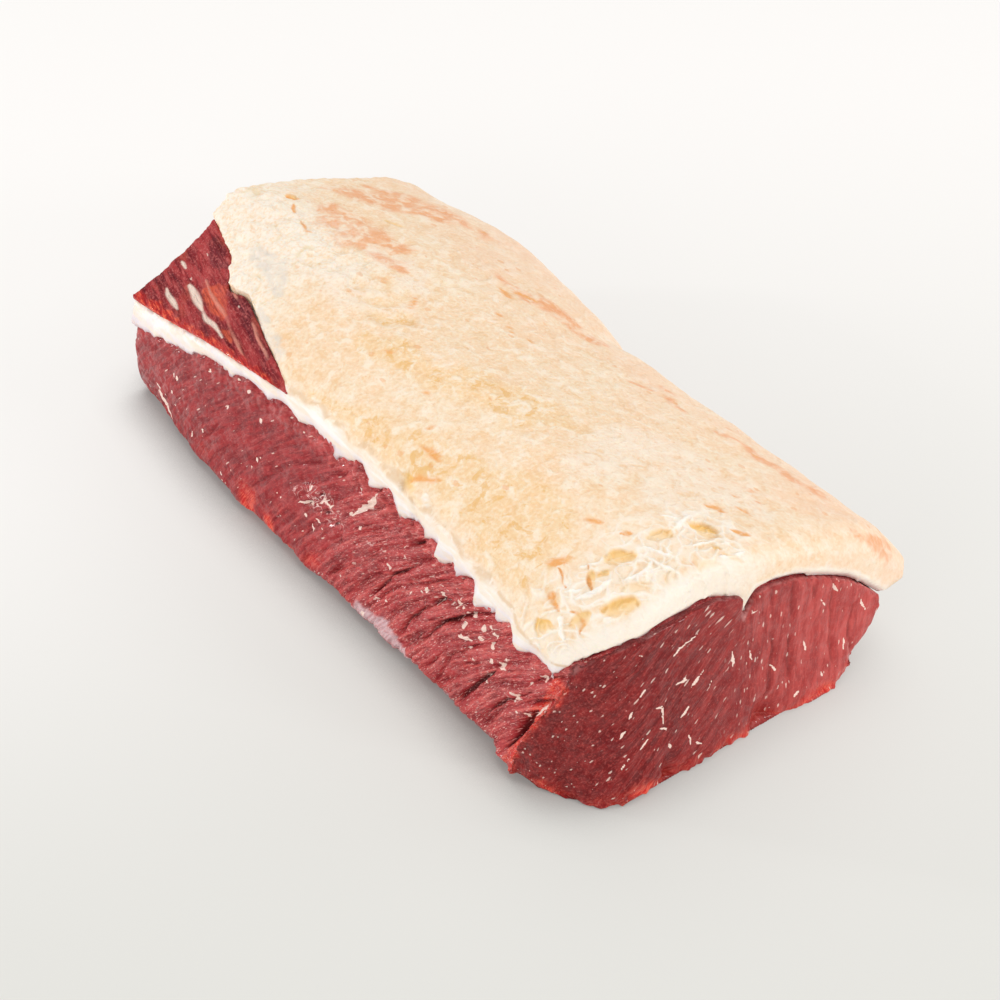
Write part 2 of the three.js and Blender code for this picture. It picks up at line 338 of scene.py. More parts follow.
# %% Rolls and creases of the trimmed side
ROLL_PITCH = 11.5
RIB_PITCH = 3.7
ROLL_HEIGHT = 4.0
RIB_HEIGHT = 1.4
FOLD_SCALE = 2.147  # lifts the crests to 0
CREASES = [  # corners in X and Z, depth and half width, all in mm
    ((38, 22), (50, 40), (67, 57), 3.6, 1.0),
    ((58, 12), (66, 28), (84, 50), 3.4, 0.9),
    ((72, 16), (86, 38), (104, 56), (118, 64), 3.6, 1.0),
    ((88, 10), (96, 28), (114, 48), 2.4, 0.8),
    ((103, 8), (114, 26), (126, 44), 4.6, 1.3),
    ((118, 10), (132, 32), (150, 50), 3.2, 1.0),
    ((138, 11), (147, 30), (154, 43), 5.0, 1.6),
    ((-15, 14), (-3, 26), 1.2, 1.0),
    ((3, 9), (29, 34), (41, 46), 2.2, 0.9),
    ((24, 12), (38, 30), (50, 44), 1.8, 0.8),
    ((47, 19), (62, 45), 1.8, 0.8),
    ((54, 58), (62, 64), (74, 67), 2.2, 0.9),
    ((-62, 18), (-40, 40), 1.0, 1.0),
    ((-110, 14), (-92, 38), 0.9, 1.0),
]


def turns_of(points, grain, pitch, wander, seed):
    """How far across its own fold each point lies, from 0 in one valley to 1 in the next."""
    sway = wander * (lumps(points, 24, seed) + 0.25 * lumps(points, 8, seed + 1))
    return (grain[:, 1] + sway) / pitch % 1


def rolls_of(turn):
    """Folds that rise steeply from a valley and sink slowly, from 0 down to -1."""
    return FOLD_SCALE * turn**0.4 * (1 - turn) ** 0.8 - 1


def crest_highlights_of(turn):
    """The steep flank and the crest of each fold, where the light falls and the material paints a
    highlight.
    """
    return np.exp(-(((turn - 0.24) / 0.15) ** 2))


def creases_of(points):
    flat = shaken(points, 7, 0.9, 1)[:, [0, 2]]
    depth = np.zeros(len(points))
    for *corners, deep, half in CREASES:
        gap, along = line_distance(flat, corners)
        ends = np.sqrt(np.clip(4 * along * (1 - along), 0, 1)) * 0.8 + 0.2
        here = deep * ends * np.exp(-((gap / (half * ends)) ** 2))
        depth = np.maximum(depth, here)
    return depth


# %% [markdown]
# Where the lean meets the white band it ends in soft lobes, with sharp notches between
# them that the white tissue fills. The notches are named by their X. So the lean stands
# proud along the lobes and draws back in the notches, and later the fat's own edge is
# pulled down into them.

# %% Lobes along the seam
SEAM_X = np.array([-189, -96, -2, 91, 184])
SEAM_Y = np.array([-93, -88.6, -84.1, -84.1, -87.6])
SEAM_Z = np.array([42, 61.5, 69.5, 70, 63])
NOTCHES = np.array([-189, -150, -128, -92, -60, -33, -2, 26, 48, 68, 80, 94, 112, 124, 138, 165])
NOTCH_DEPTHS = np.array([1.5, 2.0, 2.0, 2.5, 4.0, 6.0, 7.0, 5.0, 6.0, 8.0, 7.0, 9.0, 6.0, 7.0, 6.0])
NOTCH_SHARPNESS = 1.3
NOTCH_PULL = np.array([-0.35, -0.3, -0.5])
RIB_END_DROP = 6
LIP_RISE = 2.6
LIP_PROUD = 1.6
LIP_REACH = 7
LIP_DRAWN_BACK = 0.3
BEAD_SIZE = 5.2
BEAD_HEIGHT = 4.6
BEAD_RISE = 2


def along_seam(x, values):
    return np.polyval(np.polyfit(SEAM_X, values, 4), x)


def notch_depth(x):
    """How far the white tissue reaches down between the lobes at each X."""
    which = np.clip(np.searchsorted(NOTCHES, x) - 1, 0, len(NOTCH_DEPTHS) - 1)
    t = np.clip((x - NOTCHES[which]) / (NOTCHES[which + 1] - NOTCHES[which]), 0, 1)
    return NOTCH_DEPTHS[which] * (0.5 + 0.5 * np.cos(2 * math.pi * t)) ** NOTCH_SHARPNESS


def seam_drop(points):
    """How far the white tissue reaches down into the lean, all along the seam."""
    x = points[:, 0]
    uneven = 2.5 * lumps(points, 7, 68)
    ragged = 1.6 * lumps(points, 3.2, 70)
    return notch_depth(x + uneven) + ragged + RIB_END_DROP * (1 - smooth(x, -150, -60))


def from_seam(points):
    x = points[:, 0]
    return np.hypot(points[:, 1] - along_seam(x, SEAM_Y), points[:, 2] - along_seam(x, SEAM_Z))


# %% [markdown]
# The lower edge was torn as much as cut. Ragged bits stand out from it all round, and
# they keep a brighter red, since they dry last. The same bright rags run up the corner
# where the trimmed side meets the cut. The cut face itself only has shallow grooves
# between bundles of fibres.

# %% Torn edges and the grooves of the cut
FOOT_HEIGHT = 9
CORNER_CURL = np.array([1.0, -3.2, 1.0])
CURL_SHIFT = np.array([2.2, 0.6, 0.0])
CUT_GROOVES_Y = np.array([10, 21, 33, 44, 56])
GROOVE_DEPTH = 1.3
FOOT_BAYS = [  # place in Y, depth and half width in mm
    (-85, 4.0, 4.0),
    (-46, 4.5, 3.2),
    (-16, 2.0, 5.0),
    (7, 6.0, 6.5),
    (38, 1.5, 3.0),
    (62, 3.5, 6.0),
]


def foot_wander(points):
    """How far the foot stands out or draws back as one walks round it."""
    flat = points * [1, 1, 0]
    return 3.2 * lumps(flat, 24, 4) + 1.6 * lumps(flat, 9, 3)


def foot_bays(points):
    """How far the foot of the cut draws back in its bays."""
    back = np.zeros(len(points))
    for y, depth, half in FOOT_BAYS:
        back = np.maximum(back, depth * np.exp(-(((points[:, 1] - y) / half) ** 2)))
    return back


def foot_of(points):
    ragged = 5 * lumps(points * [1, 1, 0], 12, 5) + 2 * lumps(points, 4, 6)
    return 1 - smooth(points[:, 2] + ragged, 0.5, FOOT_HEIGHT)


def torn_of(at):
    """Where the lean is torn and bright: the foot in patches, and the corner in strings."""
    patches = smooth(lumps(at.points, 13, 48), -0.15, 0.35)
    gap, _ = line_distance(shaken(at.points + CURL_SHIFT, 5, 1.6, 7), CORNER)
    corner = 1 - smooth(gap, 2.0, 4.2)
    mid_side = np.exp(-(((at.points[:, 0] + 45) / 45) ** 2)) * at.side
    strings = 0.85 + 0.6 * lumps(at.points * [1, 1, 0.35], 3, 49)
    low = (1 - smooth(at.points[:, 2], 6, 26)) * mid_side * patches
    return np.max([at.foot * (0.25 + 0.65 * patches * at.cut), low, corner * strings], axis=0)


def corner_of(points):
    gap, _ = line_distance(shaken(points, 5, 1.5, 7), CORNER)
    return np.exp(-((gap / 2.0) ** 2))


def grooves_of(points):
    sway = 3.2 * lumps(points, 15, 8) + 1.0 * lumps(points, 5, 71)
    gap = np.abs((points[:, 1] + sway)[:, None] - CUT_GROOVES_Y[None]).min(axis=1)
    right = smooth(points[:, 1], -2, 8) * smooth(points[:, 2], 6, 16)
    broken = smooth(lumps(points, 16, 72), -0.4, 0.1)
    return np.exp(-((gap / 1.4) ** 2)) * right * broken


# %% [markdown]
# At the top of the cut the left muscle ends in a round shoulder, and only a thin white
# seam is left between it and the right one. The solid has a wide notch there, so both
# shoulders are pushed into it. Halfway along the trimmed side the meat is torn open, in a
# shallow pit with strings across it.

# %% The shoulders of the cut and the torn pit
SHOULDERS = [  # place, push and reach in mm
    ((178, -15, 75), (1.6, 6.5, 2.2), 9),
    ((179, 4, 77), (1.4, -5.0, 1.5), 8),
]
PIT = [(-18, -95, 38), (-4, -93, 42), (6, -94, 38)]
PIT_REACH = 8
EDGE_FILL = np.array([1.3, 0.0, 1.3])
EDGE_REACH = 8


def shoulders_of(points):
    moves = np.zeros(points.shape)
    for spot, push, reach in SHOULDERS:
        gap = np.linalg.norm((points - spot) * [0.5, 1, 1], axis=1)
        moves += np.exp(-((gap / reach) ** 2))[:, None] * np.array(push)
    return moves


def pit_of(points):
    gap, _ = line_distance(shaken(points, 8, 4, 45), PIT)
    return 1 - smooth(gap, 0.5 * PIT_REACH, PIT_REACH)


# %% [markdown]
# All of that is brought together in four steps. First come the masks and grains, then the
# single reliefs, and then the points are moved by their sum. Last, the same masks are
# stored in the mesh, so that the material darkens exactly the creases that were made.

# %% Masks and reliefs of the loin
DEEP_CREASE = 3.5
LYING_BELOW = 0.6
STRING_SIZE = 3.4
STRING_HEIGHT = 3.2
PIT_DEPTH = 1.2


def loin_masks(mesh):
    """What the relief and the paint of the loin share."""
    points, normals = points_of(mesh), normals_of(mesh)
    side, cut = trimmed_side(points, normals), cut_face(points, normals)
    standing = smooth(1 - np.abs(normals[:, 2]), 0.2, 0.5)
    parted = points[:, 1] + 4 * lumps(points, 12, 20)
    return SimpleNamespace(
        points=points,
        normals=normals,
        side=side,
        cut=cut,
        standing=standing,
        muscle=smooth(parted, -22, 0) * cut,
        near=smooth(points[:, 0], -60, 60),
        foot=foot_of(points) * standing,
        low=(1 - smooth(points[:, 2], 0, 22)) * standing,
        lip=np.exp(-((from_seam(points) / LIP_REACH) ** 2)) * (1 - cut),
        grain=grain_of(points, cut),
        right_grain=right_grain_of(points),
        to_fat=gap_to("fat_cap", points),
    )


def folds_of(at):
    """The rolls, the ribs, and where a highlight is painted on the crests of both."""
    uneven = 0.8 + 0.5 * lumps(at.points, 18, 9)
    folded = at.side * (0.2 + 0.8 * at.near)
    strong_rolls = folded * smooth(at.points[:, 2], 3, 12) * uneven
    strong_ribs = folded * np.clip(0.6 + 1.4 * lumps(at.grain * [0.4, 1, 1], 8, 46), 0, 1.2)
    roll_turns = turns_of(at.points, at.grain, ROLL_PITCH, 4.0, 10)
    rib_turns = turns_of(at.points, at.grain, RIB_PITCH, 2.0, 12)
    crest_highlights = 0.5 * crest_highlights_of(roll_turns) * strong_rolls + 0.7 * crest_highlights_of(rib_turns) * strong_ribs
    return rolls_of(roll_turns) * strong_rolls, rolls_of(rib_turns) * strong_ribs, crest_highlights


def beads_of(at):
    beads = (0.6 - cells(at.points * [1, 1, 1.2], BEAD_SIZE, 14)) * smooth(at.lip, 0.1, 0.5)
    return beads * (1 - at.cut) * (0.3 + 0.7 * at.near)


def ridges_of(at):
    """Low ridges along the grain of both muscles on the cut."""
    left = lumps(at.grain * [0.3, 1, 1], 4.5, 15) * (at.cut - at.muscle)
    return left + lumps(at.right_grain * [0.3, 1, 1], 4.5, 15) * at.muscle


def loin_reliefs(at):
    rolls, ribs, crest_highlights = folds_of(at)
    return SimpleNamespace(
        rolls=rolls,
        ribs=ribs,
        crest_highlights=crest_highlights,
        crease=creases_of(at.points) * at.side,
        beads=beads_of(at),
        pit=pit_of(at.points) * at.side,
        strings=cells(at.grain * [0.45, 1, 1], STRING_SIZE, 47) - 0.45,
        grooves=grooves_of(at.points) * at.cut,
        rags=lumps(at.points, 6, 16) + 0.6 * lumps(at.points, 2.6, 17),
    )


# %% Move the loin's points and paint them
def loin_height(at, relief):
    """How far each point moves out of the surface."""
    height = ROLL_HEIGHT * relief.rolls + RIB_HEIGHT * relief.ribs + BEAD_HEIGHT * relief.beads
    height += 0.25 * ridges_of(at) - GROOVE_DEPTH * relief.grooves - relief.crease
    height += 0.6 * lumps(at.points, 13, 18) * at.standing
    height += (STRING_HEIGHT * relief.strings - PIT_DEPTH) * relief.pit
    height += relief.rags * at.foot * (0.7 + 1.3 * at.cut)
    height += 0.12 * lumps(at.points, 2.2, 19) * (at.side + at.cut)
    return height + foot_wander(at.points) * at.low * (0.35 + 0.35 * at.cut)


def move_loin(mesh, at, relief):
    moved = at.points + at.normals * loin_height(at, relief)[:, None] + shoulders_of(at.points)
    moved += EDGE_FILL * (np.exp(-((at.to_fat / EDGE_REACH) ** 2)) * at.cut)[:, None]
    moved += CORNER_CURL * (corner_of(at.points) * (0.5 + 1.3 * np.abs(relief.rags)))[:, None]
    drawn_back = LIP_DRAWN_BACK * seam_drop(at.points)
    moved[:, 0] -= foot_bays(at.points) * at.low * at.cut
    moved[:, 1] -= (LIP_PROUD - drawn_back) * at.lip
    moved[:, 2] += (LIP_RISE - drawn_back + BEAD_RISE * relief.beads) * at.lip
    lying = at.points[:, 2] < LYING_BELOW
    moved[lying, 2] = np.minimum(moved[lying, 2], at.points[lying, 2])
    set_points(mesh, moved)
    print("the loin's points moved by up to", round(np.abs(moved - at.points).max(), 1), "mm")


def paint_loin(mesh, at, relief):
    deep = (relief.crease / DEEP_CREASE) ** 1.5 + 0.9 * relief.rolls**2 + 0.5 * relief.ribs**2
    paint_grain(mesh, "grain", at.grain)
    paint_grain(mesh, "right_grain", at.right_grain)
    paint(
        mesh,
        muscle=at.muscle,
        cut=at.cut,
        near=at.near,
        torn=torn_of(at),
        deep=deep + relief.pit * smooth(-relief.strings, 0.0, 0.3) + 0.5 * relief.grooves,
        wet=np.max([relief.pit, 0.8 * at.lip * at.side, 0.5 * at.near * at.side], axis=0),
        # A painted highlight on the crests of the folds and on the beads of the lip.
        crest=relief.crest_highlights + 1.4 * relief.beads,
        # A pinker lip, partly the lobes' own tone and partly a painted highlight on their upturned
        # faces.
        lip=smooth(at.lip, 0.2, 0.7) * (0.3 + 0.7 * at.near),
        margin=(1 - smooth(at.to_fat, 0.5, 1.8)) * at.cut,
        # A gradient across the cut face from the left muscle's darker red to the right one's lighter
        # red, partly their own tones and partly painted light.
        right=smooth(at.points[:, 1], -60, 60),
    )


# %% [markdown]
# Some veins of fat are so plain that they are drawn one by one, as short strokes with
# rough edges. On the cut face they are white flecks and small forks. On the side there
# is also a torn film of white tissue, and flecks along the lip of the folds.

# %% Veins of the cut
CUT_VEINS = [  # corners and half width
    ((178, -31, 70), (178, -40, 67), (178, -44, 64), 0.8),
    ((178, -36, 66), (178, -41, 69), 0.6),
    ((180, -41, 50), (180, -35, 49), 0.9),
    ((180, -38, 47), (180, -36, 51), 0.8),
    ((181, -34, 44), (180, -29, 48), 1.1),
    ((180, -29, 48), (181, -25, 52), 0.6),
    ((181, -53, 44), (181, -49, 42), 0.8),
    ((181, -49, 42), (182, -48, 33), 0.7),
    ((182, -50, 31), (182, -46, 29), 0.9),
    ((182, -39, 31), (182, -34, 35), 0.9),
    ((181, -25, 38), (180, -22, 44), 0.6),
    ((177, -60, 75), (177, -58, 72), 0.7),
    ((175, -71, 65), (176, -69, 67), 0.7),
    ((179, -57, 56), (180, -60, 53), 0.8),
    ((179, -65, 44), (179, -62, 48), 0.8),
    ((179, -69, 34), (179, -66, 38), 0.7),
    ((182, -60, 25), (182, -56, 29), 0.7),
    ((176, -79, 9), (176, -75, 17), 0.9),
    ((181, -69, 18), (182, -65, 24), 0.7),
    ((183, -35, 20), (184, -34, 12), 0.8),
    ((184, -32, 14), (186, -28, 10), 0.8),
    ((183, -46, 21), (184, -44, 17), 0.7),
    ((180, -12, 51), (181, -11, 42), 1.0),
    ((180, -2, 47), (181, -1, 40), 0.7),
    ((178, -6, 66), (179, 3, 65), 0.6),
    ((179, -2, 65), (179, -1, 61), 0.5),
    ((182, 10, 31), (182, 13, 27), 0.8),
    ((182, 29, 36), (182, 30, 29), 0.7),
    ((180, 37, 53), (180, 40, 48), 0.6),
    ((183, 53, 24), (184, 52, 18), 0.9),
    ((181, 60, 41), (182, 64, 34), 0.7),
    ((179, 44, 57), (180, 47, 51), 0.7),
    ((184, 14, 18), (185, 15, 14), 0.6),
    ((186, 26, 11), (185, 22, 8), 0.8),
    ((184, 38, 14), (186, 40, 10), 0.8),
]

# %% Veins and films of the side
SIDE_FLECK_SIZE = 4.6
SIDE_VEINS = [
    ((30, -84, 69), (24, -87, 59), (14, -90, 48), 1.8),
    ((-24, -96, 33), (-10, -93, 40), (-3, -91, 46), 0.9),
    ((-12, -92, 44), (0, -92, 44), (2, -91, 51), 0.9),
    ((-1, -92, 44), (7, -93, 38), 0.7),
    ((-11, -95, 33), (-2, -95, 31), 1.0),
    ((-18, -93, 42), (-15, -92, 47), 0.6),
    ((78, -89, 54), (84, -88, 56), 0.9),
    ((64, -93, 39), (67, -92, 44), 0.7),
    ((100, -91, 42), (107, -91, 45), 1.4),
    ((104, -92, 39), (108, -91, 41), 1.0),
    ((119, -90, 51), (123, -90, 52), 1.6),
    ((132, -88, 61), (137, -87, 62), 1.2),
    ((103, -89, 55), (108, -88, 56), 1.2),
    ((93, -89, 57), (96, -89, 53), 1.3),
    ((126, -91, 47), (132, -91, 48), 1.4),
    ((136, -92, 39), (144, -93, 41), 1.4),
    ((151, -89, 58), (156, -88, 59), 0.9),
    ((155, -91, 43), (159, -89, 49), 0.9),
    ((150, -92, 39), (155, -93, 38), 0.8),
    ((-163, -97, 19), (-156, -98, 13), (-145, -99, 8), 2.2),
    ((40, -95, 15), (48, -94, 22), 0.7),
    ((-96, -95, 30), (-90, -94, 36), 0.7),
]
TORN_FILM = [((-26, -95, 38), (-8, -93, 44), (8, -92, 42), 9.0), ((30, -92, 44), (46, -91, 50), 4.0)]
FOOT_FILM = [((22, -97, 6), (48, -97, 9), (72, -98, 4), 5.5)]
FLECKED = [((72, -92, 50), (108, -90, 52), (140, -89, 54), 13.0), ((110, -92, 36), (152, -92, 40), 9.0)]


def flecks_of(points):
    """Ragged flecks of fat, crowded where the side was trimmed closest."""
    crowded = strokes(shaken(points, 14, 5, 50), FLECKED)
    rough = shaken(points, 2.0, 0.9, 51) * [1, 1, 0.8]
    chance = lumps(points, 6, 52) + 0.5 * crowded
    return smooth(0.4 - cells(rough, SIDE_FLECK_SIZE, 53), 0.0, 0.16) * smooth(chance, 0.4, 0.5)


# %% Shape and paint the loin
def paint_veins(mesh, at):
    rough = shaken(at.points, 2.4, 0.7, 31)
    ragged = smooth(lumps(at.points, 7, 54), -0.3, 0.2)
    foot_rim = (1 - smooth(at.points[:, 2], 0.8, 3.2)) * ragged
    tissue = strokes(shaken(at.points, 9, 5, 55), FOOT_FILM)
    paint(
        mesh,
        vein=np.maximum(strokes(rough, CUT_VEINS + SIDE_VEINS), flecks_of(at.points) * at.side),
        film=strokes(shaken(at.points, 8, 4, 34), TORN_FILM),
        tissue=np.maximum(tissue, 0.8 * foot_rim * at.side),
    )


loin_at = loin_masks(loin.data)
loin_relief = loin_reliefs(loin_at)
move_loin(loin.data, loin_at, loin_relief)
paint_loin(loin.data, loin_at, loin_relief)
paint_veins(loin.data, loin_at)

# %% [markdown]
# ## The fat cap
#
# Beef fat over the loin is waxy and never even. Most of it is a soft cream sheet with
# shallow dents. At the rib end it is torn and crumbly, near the cut face it opens into a
# web of white strands with hollows of yellow fat between, and along the trimmed side a
# smooth white band shows where the sheet was cut through.

# %% Where the fat changes
FAT_SQUARE = 2.0


def web_zone(points):
    blur = 9 * lumps(points, 16, 21)
    x, y = points[:, 0] + blur, points[:, 1] + blur
    return smooth(x, 122, 148) * (1 - smooth(y, -6, 22))


def crumb_zone(points):
    blur = 12 * lumps(points, 22, 22)
    x, y = points[:, 0] + blur, points[:, 1] + blur
    rib = 1 - smooth(x, -120, -70)
    return rib * (1 - smooth(y, -25, 15))


def band_zone(points):
    ragged = 2.5 * lumps(points, 9, 23)
    wide = np.interp(points[:, 0], [-150, 0, 100, 170], [18, 18, 14, 7])
    return 1 - smooth(from_seam(points) + ragged, 0.5 * wide, wide)


def sliced_zone(points):
    ragged = 1.5 * lumps(points, 5, 56)
    return 1 - smooth(behind_cut(points) + ragged, 2, 6)


def torn_rim(points, to_lean):
    """Past the left muscle the cut edge is torn like the top, all but a rim by the lean."""
    ragged = 1.5 * lumps(points, 5, 66)
    return smooth(points[:, 1], -20, 15) * smooth(to_lean + ragged, 3.5, 6)


def detailed(points, normals):
    zones = [web_zone(points), crumb_zone(points), band_zone(points), sliced_zone(points)]
    return (np.max(zones, axis=0) > 0.3) & (normals[:, 2] > -0.2)


fat = fine_copy("fat_cap", "fat_sheet", FAT_SQUARE, melt=4)
refine(fat.data, detailed)
refine(fat.data, lambda p, n: (np.maximum(crumb_zone(p), web_zone(p)) > 0.3) & (n[:, 2] > -0.2))

# %% [markdown]
# The hollows of the web are placed one by one, and so are the white strands between
# them and the small orange dabs and folds of the sheet. Each is drawn with a shaken
# edge, so that none of them is a neat oval.

# %% Hollows of the web
HOLLOWS = [  # centre in X and Y, half sizes, turn in degrees, depth and yellowness
    (153, -8, 6.5, 5.0, 20, 3.2, 1.0),
    (166, -12, 2.6, 1.7, 60, 1.6, 0.9),
    (148, -27, 3.0, 6.0, -15, 2.0, 0.7),
    (147, -46, 4.0, 7.0, -35, 2.4, 0.9),
    (149, -56, 1.8, 3.6, -30, 1.4, 0.9),
    (147, -61, 5.5, 2.0, -40, 1.6, 0.8),
    (166, -61, 5.0, 8.0, -25, 2.8, 1.0),
    (163, -51, 2.8, 7.0, -35, 1.4, 0.4),
    (174, -21, 4.5, 7.0, -35, 1.6, 0.5),
    (175, -29, 4.5, 3.0, 10, 1.3, 0.3),
    (172, -9, 1.6, 4.5, -35, 1.2, 0.6),
    (169, -38, 3.0, 3.0, 0, 1.2, 0.3),
    (158, -74, 3.5, 3.5, 0, 1.2, 0.8),
    (147, -83, 4.5, 2.5, 0, 1.2, 1.0),
    (-168, -7, 4.0, 2.6, 0, 2.0, 0.7),
    (-124, 27, 7.0, 2.0, 30, 1.4, 0.9),
    (48, -81, 6.0, 2.6, -35, 2.4, 1.0),
    (58, -83, 9.0, 1.6, -8, 1.8, 0.7),
]

# %% Strands and dabs
STRANDS = [
    ((144, -8, 96), (148, -18, 98), (151, -24, 98), 1.6),
    ((166, -28, 98), (171, -11, 95), (171, -2, 93), 1.0),
    ((160, -22, 99), (163, -10, 96), 0.8),
    ((156, -39, 98), (166, -36, 98), (175, -36, 93), 0.9),
    ((148, -37, 98), (159, -32, 99), (175, -34, 93), 0.9),
    ((144, -28, 98), (156, -30, 99), (166, -32, 98), 0.7),
    ((154, -56, 95), (154, -63, 93), (150, -71, 90), 1.4),
    ((157, -54, 95), (160, -44, 97), (157, -38, 98), 1.2),
    ((140, -60, 94), (144, -54, 96), (142, -48, 97), 1.3),
    ((158, -68, 90), (170, -70, 84), 1.2),
    ((148, -77, 87), (160, -82, 78), 1.2),
    ((142, -74, 90), (150, -66, 92), 1.0),
    ((166, -44, 97), (172, -48, 92), 0.9),
    ((138, -20, 98), (146, -14, 97), 0.9),
    ((56, -78, 87), (64, -82, 83), 1.2),
]
DABS = [
    ((-78, -12, 97), (-72, -13, 97), 1.2),
    ((-53, -8, 96), (-47, -14, 96), 1.5),
    ((-24, -44, 97), (-21, -43, 97), 1.4),
    ((-27, 21, 89), (-24, 20, 89), 1.8),
    ((-50, 39, 84), (-40, 38, 84), 2.4),
    ((-46, 45, 82), (-36, 52, 79), 2.6),
    ((-18, 20, 89), (-10, 16, 89), 1.0),
    ((-6, 20, 88), (2, 22, 86), 1.0),
    ((12, -47, 97), (15, -46, 97), 1.3),
    ((31, -58, 95), (34, -58, 95), 1.6),
    ((138, 6, 92), (146, 10, 90), 1.7),
    ((135, 23, 86), (139, 24, 86), 1.2),
    ((143, 17, 89), (149, 20, 87), 1.1),
    ((158, 2, 93), (166, 8, 90), 2.0),
    ((166, 12, 89), (172, 14, 87), 1.3),
    ((120, -45, 98), (128, -40, 98), 1.5),
    ((137, -38, 98), (142, -34, 98), 1.5),
    ((128, -70, 92), (134, -62, 93), 1.7),
    ((134, -66, 92), (144, -70, 90), 0.9),
    ((40, -66, 93), (52, -66, 93), 2.2),
    ((46, -80, 86), (52, -76, 88), (60, -73, 90), 2.0),
    ((-163, -5, 95), (-172, -9, 94), 1.6),
    ((128, -69, 92), (131, -64, 93), (133, -60, 94), 2.2),
    ((153, -74, 88), (160, -74, 88), (162, -77, 85), 1.4),
    ((138, -74, 88), (142, -76, 87), (149, -77, 86), 1.8),
    ((142, -58, 94), (146, -61, 93), (151, -64, 92), 1.2),
    ((-160, -11, 95), (-150, -16, 96), 1.5),
    ((-142, -17, 97), (-134, -19, 97), (-128, -19, 97), 1.4),
]

# %% Tones and films of the sheet
BLUSHES = [
    ((-176, 44, 79), (-152, 56, 78), (-128, 64, 77), (-100, 68, 74), 9.0),
    ((-172, 22, 87), (-158, 36, 84), (-146, 48, 81), (-124, 54, 80), 17.0),
    ((-154, 6, 93), (-122, 2, 95), (-98, 12, 93), 16.0),
    ((-98, -4, 96), (-76, 0, 95), 6.0),
    ((-60, 48, 82), (-44, 48, 82), (-20, 58, 76), (4, 62, 70), 7.0),
    ((88, 62, 74), (140, 66, 68), (172, 66, 60), 4.5),
    ((172, 64, 70), (178, 78, 52), (180, 70, 48), 6.0),
    ((28, 47, 77), (42, 52, 76), (57, 58, 73), (75, 54, 75), 1.8),
    ((31, 66, 68), (48, 62, 72), (64, 66, 68), 1.5),
    ((116, 30, 84), (134, 36, 82), (146, 30, 84), 1.4),
]
GOLDEN = [
    ((-30, -79, 84), (24, -77, 87), (52, -68, 92), (92, -67, 93), (124, -70, 91), (152, -82, 80), 16.0),
    ((-40, -50, 96), (20, -30, 98), (48, -18, 98), (72, -8, 95), 15.0),
    ((66, -60, 94), (96, -54, 96), (130, -58, 95), 14.0),
]
SHELLS = [
    ((-88, -18, 97), (-60, -20, 97), (-34, -28, 98), 13.0),
    ((-112, -32, 96), (-94, -12, 96), 11.0),
]
PALE = [
    ((96, -26, 98), (90, 10, 90), (110, 30, 84), 20.0),
    ((130, -16, 98), (124, 14, 90), (150, 30, 84), 18.0),
    ((-118, -32, 97), (-74, -31, 97), (-44, -18, 97), 14.0),
    ((-98, 2, 95), (-62, 0, 95), 12.0),
]
MEMBRANE = [
    ((-104, -66, 87), (-86, -72, 85), (-62, -77, 84), 5.0),
    ((-132, -60, 86), (-138, -64, 84), 3.5),
    ((-142, -46, 92), (-118, -46, 93), (-100, -56, 91), 7.0),
]


# %% Carve the hollows
def hollows_of(points):
    """How deep and how yellow the hollows are, both most on their far side, where the deeper yellow is
    partly painted shade.
    """
    depth, yellow = np.zeros(len(points)), np.zeros(len(points))
    warped = shaken(shaken(points, 6, 1.6, 24), 2.4, 0.7, 69)[:, :2]
    for x, y, half_x, half_y, turn, deep, strength in HOLLOWS:
        cosine, sine = math.cos(math.radians(turn)), math.sin(math.radians(turn))
        dx, dy = warped[:, 0] - x, warped[:, 1] - y
        away = np.hypot((dx * cosine + dy * sine) / half_x, (dy * cosine - dx * sine) / half_y)
        inside = 1 - smooth(away, 0.82, 1.06)
        # The far side of each hollow is carved deeper and painted a deeper yellow, partly the fat's own
        # colour and partly painted shade.
        far_side = smooth((0.59 * dy - 0.81 * dx) / max(half_x, half_y), -0.9, 0.5)
        depth = np.maximum(depth, 0.6 * deep * inside * (0.4 + 0.6 * far_side))
        yellow = np.maximum(yellow, strength * inside * (0.25 + 0.75 * far_side))
    up = points[:, 2] > 60
    return depth * up, yellow * up


# %% [markdown]
# The fat is shaped in the same steps as the loin. Swells of four sizes go over all of it,
# calmer on the band and the slice. Flakes, shells, threads and hollows are added where
# they belong, and the edge at the seam is pulled down between the lobes of the lean.

# %% Masks of the fat
FLAKE_SIZE = 9
FLAKE_HEIGHT = 2.4
SHELL_DEPTH = 3.4
SWELLS = [(0.9, 45), (0.5, 16), (0.3, 6), (0.16, 2.8)]  # height and size in mm
FIRST_SWELL_SEED = 35
EDGE_ROLL = 4


def net_of(points):
    """A fine net of white threads."""
    coarse = smooth(np.abs(lumps(points, 9, 27)), 0.0, 0.14)
    fine = smooth(np.abs(lumps(points, 6, 28)), 0.0, 0.12)
    return 1 - np.minimum(coarse, fine)


def flakes_of(points):
    flakes = 0.5 - cells(shaken(points, 6, 2.6, 57) * [1, 1, 0.7], FLAKE_SIZE, 29)
    return flakes + 0.2 * lumps(points, 3.2, 30)


